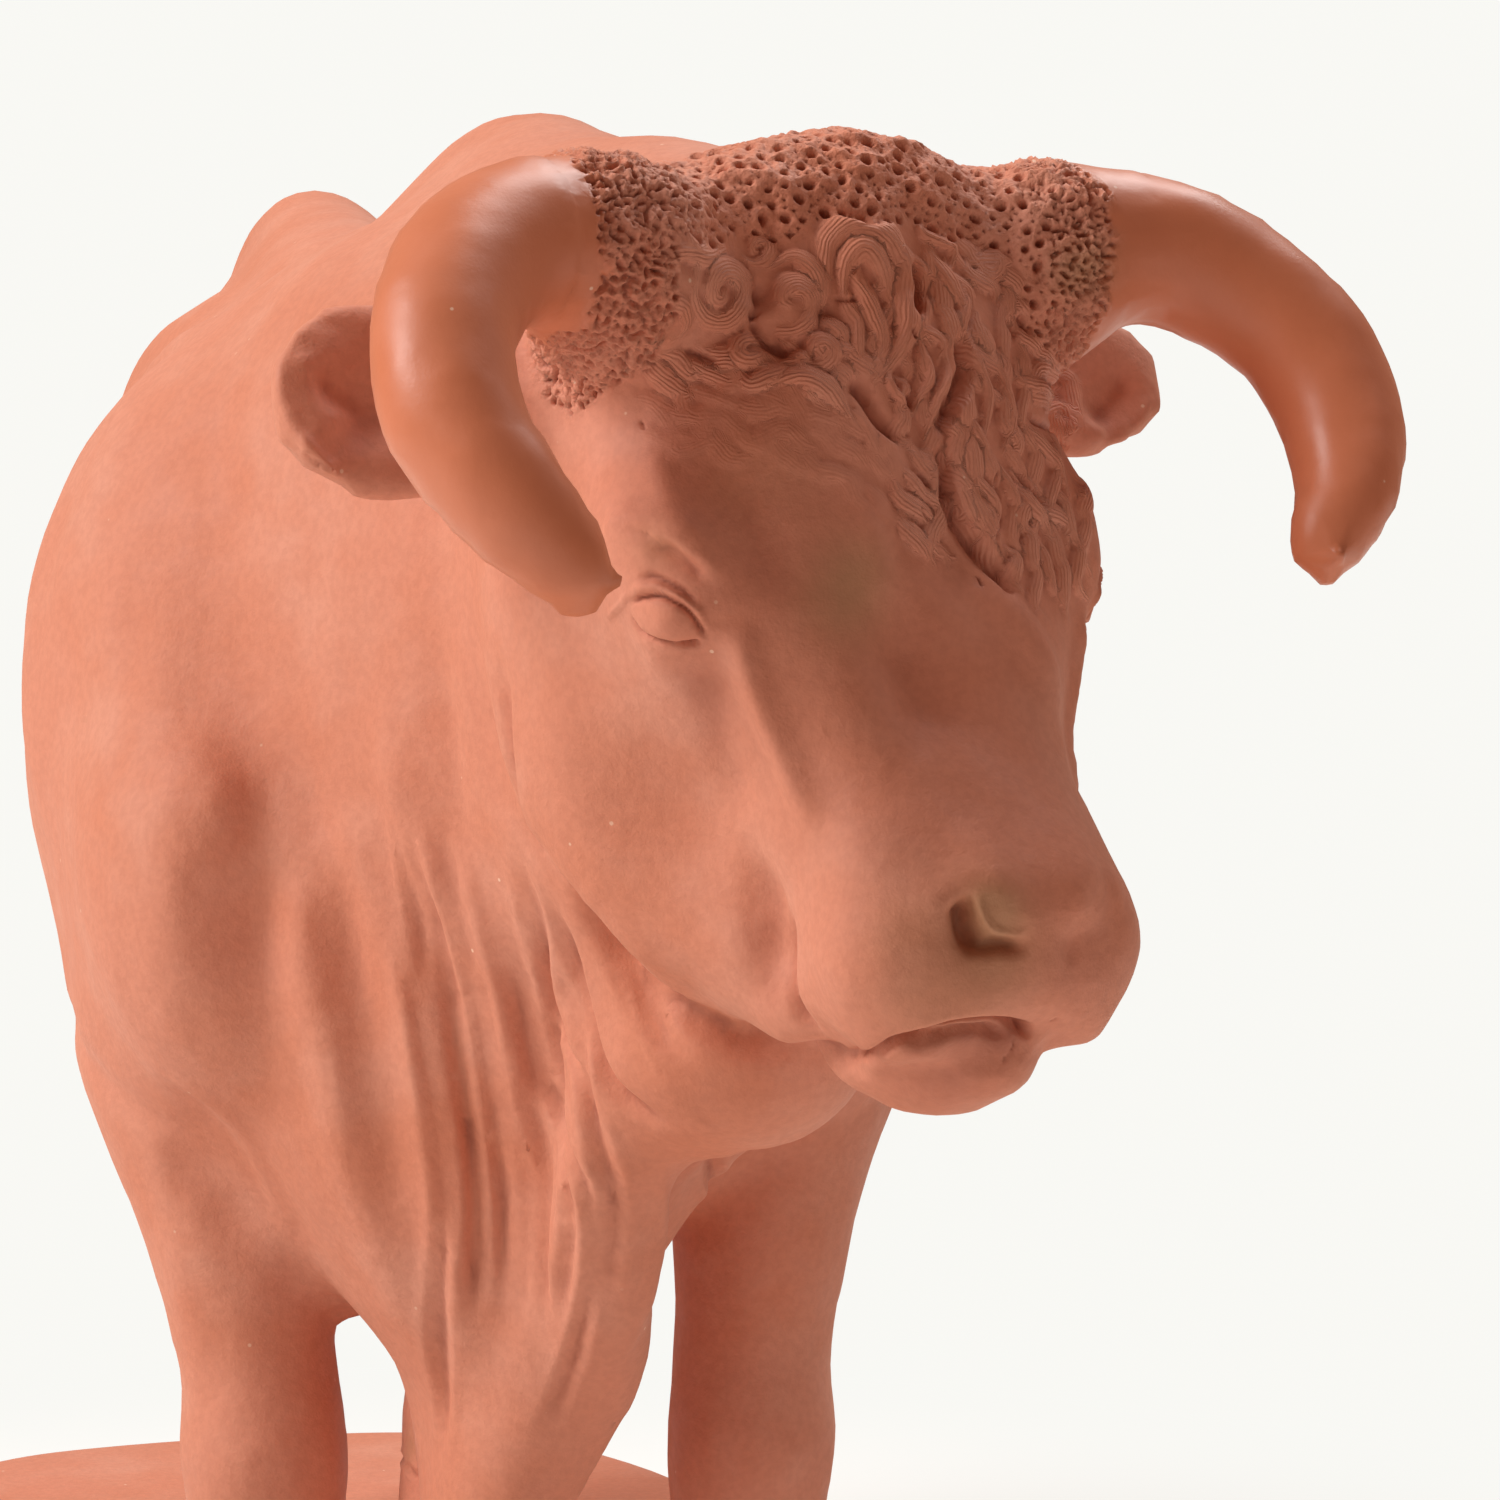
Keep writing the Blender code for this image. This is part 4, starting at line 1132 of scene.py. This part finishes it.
    def combed(self, clay: ClaySurface, locks: Iterable[Lock]) -> tuple[np.ndarray, np.ndarray, np.ndarray]:
        """Lays locks of hair and notes how the comb runs in each.

        Args:
            clay: The surface.
            locks: The locks, of which the higher one shows where two meet.

        Returns:
            The rise of each point, its place across its lock, and how strongly it is combed.
        """
        count = len(clay.points)
        rise, across_lock, strength = np.zeros(count), np.zeros(count), np.zeros(count)
        for lock in locks:
            width = lock.width * MM
            for path, facing in clay.laid(lock.path):
                near, distance, passed, across = clay.beside(path, facing, width * 1.15)
                ends = smooth_step(0.0, 0.45, passed) * smooth_step(0.0, 0.45, 1.0 - passed)
                taper = width * (0.35 + 0.75 * ends)
                round_top = np.clip(1.0 - (distance / taper) ** 2, 0.0, 1.0) ** 0.7
                height = lock.rise * MM * (0.3 + 0.7 * ends) * round_top
                higher = height > rise[near]
                rows = near[higher]
                rise[rows] = height[higher]
                across_lock[rows] = across[higher] / MM
                strength[rows] = (round_top * min(max(lock.rise - 0.2, 0.05) * 2.0, 1.0))[higher]
        return rise, across_lock, strength

    def worked(self, body: bpy.types.Object) -> None:
        """Models the clay from the large forms down to the needle's holes, and stores the masks.

        Args:
            body: The refined object, whose mesh is changed.
        """
        tools = self.modelling
        clay = ClaySurface(body.data)
        above = smooth_step(*self.worked_above, clay.points[:, 2])
        handled = MM * (0.28 * lumpiness(clay.points, 0.014) + 0.10 * lumpiness(clay.points, 0.0055, 3.0))
        left, out, down = HEAD.inside(clay.points).T
        head = (np.abs(left) < 26.0) & (out > -34.0) & (down < 66.0)
        neck = smooth_step(-0.080, -0.105, clay.points[:, 1]) * ~head
        streaks = lumpiness(clay.points * (1.0, 1.0, 0.2), 0.0065, 6.0)
        handled += MM * 0.34 * neck * streaks
        folds = [*tools.neck_pulls, *tools.throat_folds(self.fold_count, self.seed)]
        clay.lift(clay.pulled(tools.hidden_pulls()) + above * handled)
        clay.lift(clay.pulled(folds) + clay.pulled(tools.face_pulls) + clay.swollen(tools.face_swells))
        clay.lift(clay.pulled(tools.lid_pulls) + clay.pulled(tools.nose_pulls))
        regions = self.regions(clay)
        horn, curls = regions[Mask.HORN], regions[Mask.HAIR]
        rise, comb, strength = self.combed(clay, self.flowing_locks())
        rolls = [self.rolled(curl) for curl in tools.curls]
        second, comb_second, strength_second = self.combed(clay, [*tools.combed_locks, *rolls])
        higher = second > rise * 0.6
        rise = np.where(higher, second + rise * 0.3, rise)
        comb = np.where(higher, comb_second, comb)
        strength = np.where(higher, strength_second, strength)
        free = 1.0 - curls
        clay.lift(rise * free + clay.pulled(tools.hair_grooves))
        clay.lift(clay.pulled(tools.needle_cracks) + self.poked(clay, curls))
        hollow = self.hollows(clay)
        clay.write()
        clay.keep(Mask.HORN, horn)
        clay.keep(Mask.HAIR, curls)
        # Painted shade: the listed shade spots join the hollows in darkening the clay's colour
        painted_shade = np.clip(clay.swollen(tools.painted_shades, 1.0), 0.0, 1.0)
        clay.keep(Mask.HOLLOW, np.maximum(hollow, painted_shade))
        clay.keep(Mask.STAIN, np.clip(clay.swollen(tools.stains, 1.0), 0.0, 1.0))
        clay.keep(Mask.COMB, comb)
        clay.keep(Mask.COMB_STRENGTH, strength * free)

    def hollows(self, clay: ClaySurface) -> np.ndarray:
        """How deep each point lies below the clay round it, from 0 to 1, as the painted shade of the fine
        hollows.
        """
        around = clay.points.copy()
        for _ in range(5):
            around = clay.neighbour_mean(around)
        depth = ((around - clay.points) * clay.normals).sum(1)
        gaps = np.linalg.norm(clay.points[clay.edges[:, 0]] - clay.points[clay.edges[:, 1]], axis=1)
        total = sum(np.bincount(clay.edges[:, side], gaps, len(clay.points)) for side in (0, 1))
        fine = 1.0 - smooth_step(0.5 * MM, 0.8 * MM, total / np.maximum(clay.degree[:, 0], 1))
        return fine * smooth_step(0.02 * MM, 0.35 * MM, depth)

    def build(self) -> bpy.types.Object:
        """Models the whole piece.

        Returns:
            The finished object, which stands for the CAD node.
        """
        blank = self.blank()
        even = self.rounded(blank)
        bpy.data.objects.remove(blank)
        body = self.joined(even)
        self.refined(body)
        self.worked(body)
        self.thinned(body)
        soft_faces(body.data, self.cut_height + 0.002)
        return body

    def thinned(self, body: bpy.types.Object) -> None:
        """Takes out the faces that matter least, where the clay is smooth.

        Args:
            body: The worked object, whose mesh is changed.
        """
        body.data.calc_loop_triangles()
        fewer = body.modifiers.new("fewer_faces", "DECIMATE")
        fewer.ratio = self.most_triangles / len(body.data.loop_triangles)
        fewer.use_collapse_triangulate = True
        mesh = finished_mesh(body, "bull_clay")
        body.modifiers.clear()
        body.data = mesh
        LOG.info("thinned out to %d faces", len(mesh.polygons))


def within_outline(outline: Points, x: float, y: float) -> bool:
    """Whether a place in the picture lies inside a closed outline."""
    inside = False
    for (x1, y1), (x2, y2) in zip(outline, outline[1:] + outline[:1]):
        if (y1 > y) != (y2 > y) and x < (x2 - x1) * (y - y1) / (y2 - y1) + x1:
            inside = not inside
    return inside


def soft_faces(mesh: bpy.types.Mesh, height: float) -> None:
    """Shades a mesh softly but keeps the corner where the hooves meet the slab.

    Args:
        mesh: The mesh.
        height: Below this height, steep corners stay sharp.
    """
    for face in mesh.polygons:
        face.use_smooth = True
    shape = bmesh.new()
    shape.from_mesh(mesh)
    for edge in shape.edges:
        if max(corner.co.z for corner in edge.verts) < height:
            edge.smooth = edge.calc_face_angle(0.0) < math.radians(38.0)
    shape.to_mesh(mesh)
    shape.free()


class GroupBuilder:
    """Lays out nodes from left to right and links them."""

    def __init__(self, tree: bpy.types.NodeTree) -> None:
        """Starts in an empty tree."""
        self.tree = tree
        self.column = 0

    def add(self, kind: str, **settings: object) -> bpy.types.Node:
        """Adds a node.

        Args:
            kind: Its type.
            settings: Its properties, by name.

        Returns:
            The node.
        """
        node = self.tree.nodes.new(kind)
        node.location = (self.column * 180, 0)
        self.column += 1
        for name, value in settings.items():
            setattr(node, name, value)
        return node

    def feed(self, socket: bpy.types.NodeSocket, value: object) -> None:
        """Gives an input another node's output or a plain value."""
        if isinstance(value, bpy.types.NodeSocket):
            self.tree.links.new(value, socket)
        else:
            socket.default_value = value

    def settle(self, node: bpy.types.Node, values: dict[str, object]) -> None:
        """Feeds several inputs of a node, by name."""
        for name, value in values.items():
            self.feed(node.inputs[name], value)

    def math(self, operation: str, *values: object) -> bpy.types.NodeSocket:
        """Adds a Math node.

        Args:
            operation: What it works out.
            values: Its inputs, sockets or numbers.

        Returns:
            Its output.
        """
        node = self.add("ShaderNodeMath", operation=operation)
        for socket, value in zip(node.inputs, values):
            self.feed(socket, value)
        return node.outputs[0]

    def product(self, first: object, *others: object) -> bpy.types.NodeSocket:
        """Multiplies sockets and numbers, two at a time."""
        for other in others:
            first = self.math("MULTIPLY", first, other)
        return first

    def blend(self, factor: object, first: object, second: object) -> bpy.types.NodeSocket:
        """Mixes two colours.

        Args:
            factor: How much of the second, a socket or a number.
            first: The first colour, a socket or a tuple.
            second: The second colour, a socket or a tuple.

        Returns:
            The mixed colour.
        """
        node = self.add("ShaderNodeMix", data_type="RGBA", blend_type="MIX")
        inputs = {socket.identifier: socket for socket in node.inputs}
        for name, value in (("Factor_Float", factor), ("A_Color", first), ("B_Color", second)):
            self.feed(inputs[name], value)
        return next(socket for socket in node.outputs if socket.identifier == "Result_Color")

    def noise(self, place: bpy.types.NodeSocket, scale: float, detail: float = 2.0) -> bpy.types.NodeSocket:
        """Adds noise of a scale per metre and gives its value."""
        node = self.add("ShaderNodeTexNoise")
        self.settle(node, {"Vector": place, "Scale": scale, "Detail": detail})
        return node.outputs["Factor"] if "Factor" in node.outputs else node.outputs["Fac"]

    def ranged(
        self, value: bpy.types.NodeSocket, low: float, high: float, start: float = 0.0, end: float = 1.0,
    ) -> bpy.types.NodeSocket:
        """Maps a value from one range smoothly to another.

        Args:
            value: The value.
            low: Where its range starts.
            high: Where it ends.
            start: What the low end becomes.
            end: What the high end becomes.

        Returns:
            The mapped value.
        """
        node = self.add("ShaderNodeMapRange", interpolation_type="SMOOTHSTEP")
        self.settle(node, {"Value": value, "From Min": low, "From Max": high, "To Min": start, "To Max": end})
        return node.outputs["Result"]

    def mask(self, mask: Mask) -> bpy.types.NodeSocket:
        """Reads one of the clay's attributes."""
        return self.add("ShaderNodeAttribute", attribute_name=mask.value).outputs["Fac"]


@dataclass(frozen=True)
class FiredClay:
    """Fired clay: its colours, its gloss and how rough its grain is."""

    body: Colour = (0.62, 0.231, 0.139, 1.0)
    warm: Colour = (0.60, 0.204, 0.111, 1.0)
    pale: Colour = (0.67, 0.305, 0.208, 1.0)
    # Dark clay: the random mottle, and the painted shade in hollows and at the shade spots
    deep: Colour = (0.30, 0.078, 0.042, 1.0)
    horn: Colour = (0.59, 0.172, 0.076, 1.0)
    stain: Colour = (0.36, 0.22, 0.10, 1.0)
    dust: Colour = (0.85, 0.62, 0.45, 1.0)
    roughness: float = 0.72
    horn_roughness: float = 0.42
    grain_height: float = 0.00003
    comb_height: float = 0.000055
    comb_pitch: float = 0.46
    crumb_height: float = 0.00028
    speck_scale: float = 190.0

    def build(self) -> bpy.types.Material:
        """Makes the material.

        Returns:
            The material, driven by the masks of the clay.
        """
        material = bpy.data.materials.new("fired_clay")
        material.use_nodes = True
        tree = material.node_tree
        shader = tree.nodes["Principled BSDF"]
        make = GroupBuilder(tree)
        place = make.add("ShaderNodeTexCoord").outputs["Object"]
        horn, hair = make.mask(Mask.HORN), make.mask(Mask.HAIR)
        hollow, stain = make.mask(Mask.HOLLOW), make.mask(Mask.STAIN)
        drift = make.ranged(make.noise(place, 28.0, 3.0), 0.35, 0.68)
        colour = make.blend(drift, self.body, self.warm)
        cloud = make.ranged(make.noise(place, 55.0, 3.0), 0.42, 0.78, 0.0, 0.6)
        colour = make.blend(cloud, colour, self.pale)
        mottle = make.ranged(make.noise(place, 900.0, 2.0), 0.3, 0.7, 0.0, 0.14)
        colour = make.blend(mottle, colour, self.deep)
        # The hollow mask is painted shade: it darkens the colour towards deep in hollows and at the shade
        # spots
        tints = ((horn, 0.85, self.horn), (hollow, 0.75, self.deep), (stain, 0.55, self.stain))
        for mask, strength, tint in tints:
            colour = make.blend(make.product(mask, strength), colour, tint)
        specks = make.add("ShaderNodeTexVoronoi", feature="F1")
        make.settle(specks, {"Vector": place, "Scale": self.speck_scale})
        dots = make.ranged(specks.outputs["Distance"], 0.035, 0.06, 1.0, 0.0)
        some = make.ranged(make.noise(place, 60.0, 1.0), 0.5, 0.62)
        colour = make.blend(make.product(dots, some, 0.6), colour, self.dust)
        drab = make.math("MULTIPLY_ADD", horn, self.horn_roughness - self.roughness, self.roughness)
        rough = make.math("ADD", drab, make.ranged(make.noise(place, 160.0, 3.0), 0.3, 0.7, -0.06, 0.06))
        comb = make.product(make.mask(Mask.COMB), math.tau / self.comb_pitch)
        wander = make.product(make.noise(place, 420.0, 2.0), 5.0)
        lines = make.math("SINE", make.math("ADD", comb, wander))
        strands = make.product(lines, make.mask(Mask.COMB_STRENGTH), self.comb_height)
        fine = make.product(make.noise(place, 2600.0, 2.0), self.grain_height * 2.0)
        soft = make.product(make.noise(place, 260.0, 3.0), self.grain_height * 9.0)
        calm = make.math("MULTIPLY_ADD", horn, -0.75, 1.0)
        crumb = make.product(make.noise(place, 1300.0, 3.0), hair, self.crumb_height)
        height = make.math("ADD", make.product(make.math("ADD", fine, soft), calm), strands)
        bump = make.add("ShaderNodeBump")
        make.settle(bump, {"Strength": 1.0, "Distance": 1.0, "Height": make.math("ADD", height, crumb)})
        make.settle(shader, {
            "Base Color": colour,
            "Roughness": rough,
            "Normal": bump.outputs["Normal"],
            "Specular IOR Level": 0.42,
            "Sheen Weight": 0.10,
            "Sheen Roughness": 0.5,
            "Sheen Tint": self.dust,
        })
        return material


@dataclass
class Studio:
    """The pale floor and the soft light of the studio."""

    floor_radius: float = 6.0
    pale: tuple[float, float, float] = (0.945, 0.94, 0.905)
    bounce: tuple[float, float, float] = (0.214, 0.131, 0.101)
    target: tuple[float, float, float] = (0.0, -0.08, 0.15)

    def floor(self) -> bpy.types.Object:
        """Makes the floor, which fades into the studio's white.

        Returns:
            The floor's object.
        """
        shape = bmesh.new()
        bmesh.ops.create_circle(shape, cap_ends=True, radius=self.floor_radius, segments=96)
        floor = make_object("studio_floor", shape)
        material = bpy.data.materials.new("studio_floor")
        material.use_nodes = True
        shader = material.node_tree.nodes["Principled BSDF"]
        make = GroupBuilder(material.node_tree)
        place = make.add("ShaderNodeTexCoord").outputs["Object"]
        length = make.add("ShaderNodeVectorMath", operation="LENGTH")
        make.feed(length.inputs[0], place)
        seen = make.add("ShaderNodeLightPath").outputs["Is Camera Ray"]
        away = make.product(make.ranged(length.outputs["Value"], 0.05, 0.30), seen)
        pale, black = (*self.pale, 1.0), (0.0, 0.0, 0.0, 1.0)
        make.settle(shader, {
            "Base Color": make.blend(away, pale, black),
            "Emission Color": make.blend(away, black, pale),
            "Emission Strength": 1.0,
            "Roughness": 0.9,
            "Specular IOR Level": 0.0,
        })
        floor.data.materials.append(material)
        return floor

    def lamp(self, name: str, place: tuple[float, ...], size: float, power: float) -> bpy.types.Object:
        """Hangs a soft lamp that faces the bull.

        Args:
            name: The lamp's name.
            place: Where it hangs.
            size: How wide it is.
            power: Its power in watts.

        Returns:
            The lamp's object.
        """
        light = bpy.data.lights.new(name, "AREA")
        light.shape = "DISK"
        light.size = size
        light.energy = power
        lamp = bpy.data.objects.new(name, light)
        bpy.context.scene.collection.objects.link(lamp)
        lamp.location = place
        lamp.rotation_euler = (lamp.location - Vector(self.target)).to_track_quat("Z", "Y").to_euler()
        return lamp

    def light(self) -> None:
        """Lights the studio."""
        self.lamp("window_light", (-1.18, -0.18, 1.07), 0.9, 23.0)
        self.lamp("top_light", (0.60, 0.50, 1.45), 1.0, 16.5)
        world = bpy.data.worlds.new("studio_white")
        bpy.context.scene.world = world
        world.use_nodes = True
        make = GroupBuilder(world.node_tree)
        background = world.node_tree.nodes["Background"]
        seen = make.add("ShaderNodeLightPath").outputs["Is Camera Ray"]
        make.settle(background, {"Color": make.blend(seen, (*self.bounce, 1.0), (*self.pale, 1.0))})
        bpy.context.scene.view_settings.view_transform = "Standard"


def main() -> None:
    """Builds the bull, its studio and its camera."""
    logging.basicConfig(level=logging.INFO, format="%(message)s")
    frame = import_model()
    SIGHT.build()
    bull = Bull(frame["nodes"]["bull"]).build()
    bull.data.materials.clear()
    bull.data.materials.append(FiredClay().build())
    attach(bull, "root")
    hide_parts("bull")
    LOG.info("bull_clay: %d faces", len(bull.data.polygons))
    studio = Studio()
    studio.floor()
    studio.light()


if __name__ == "__main__":
    main()
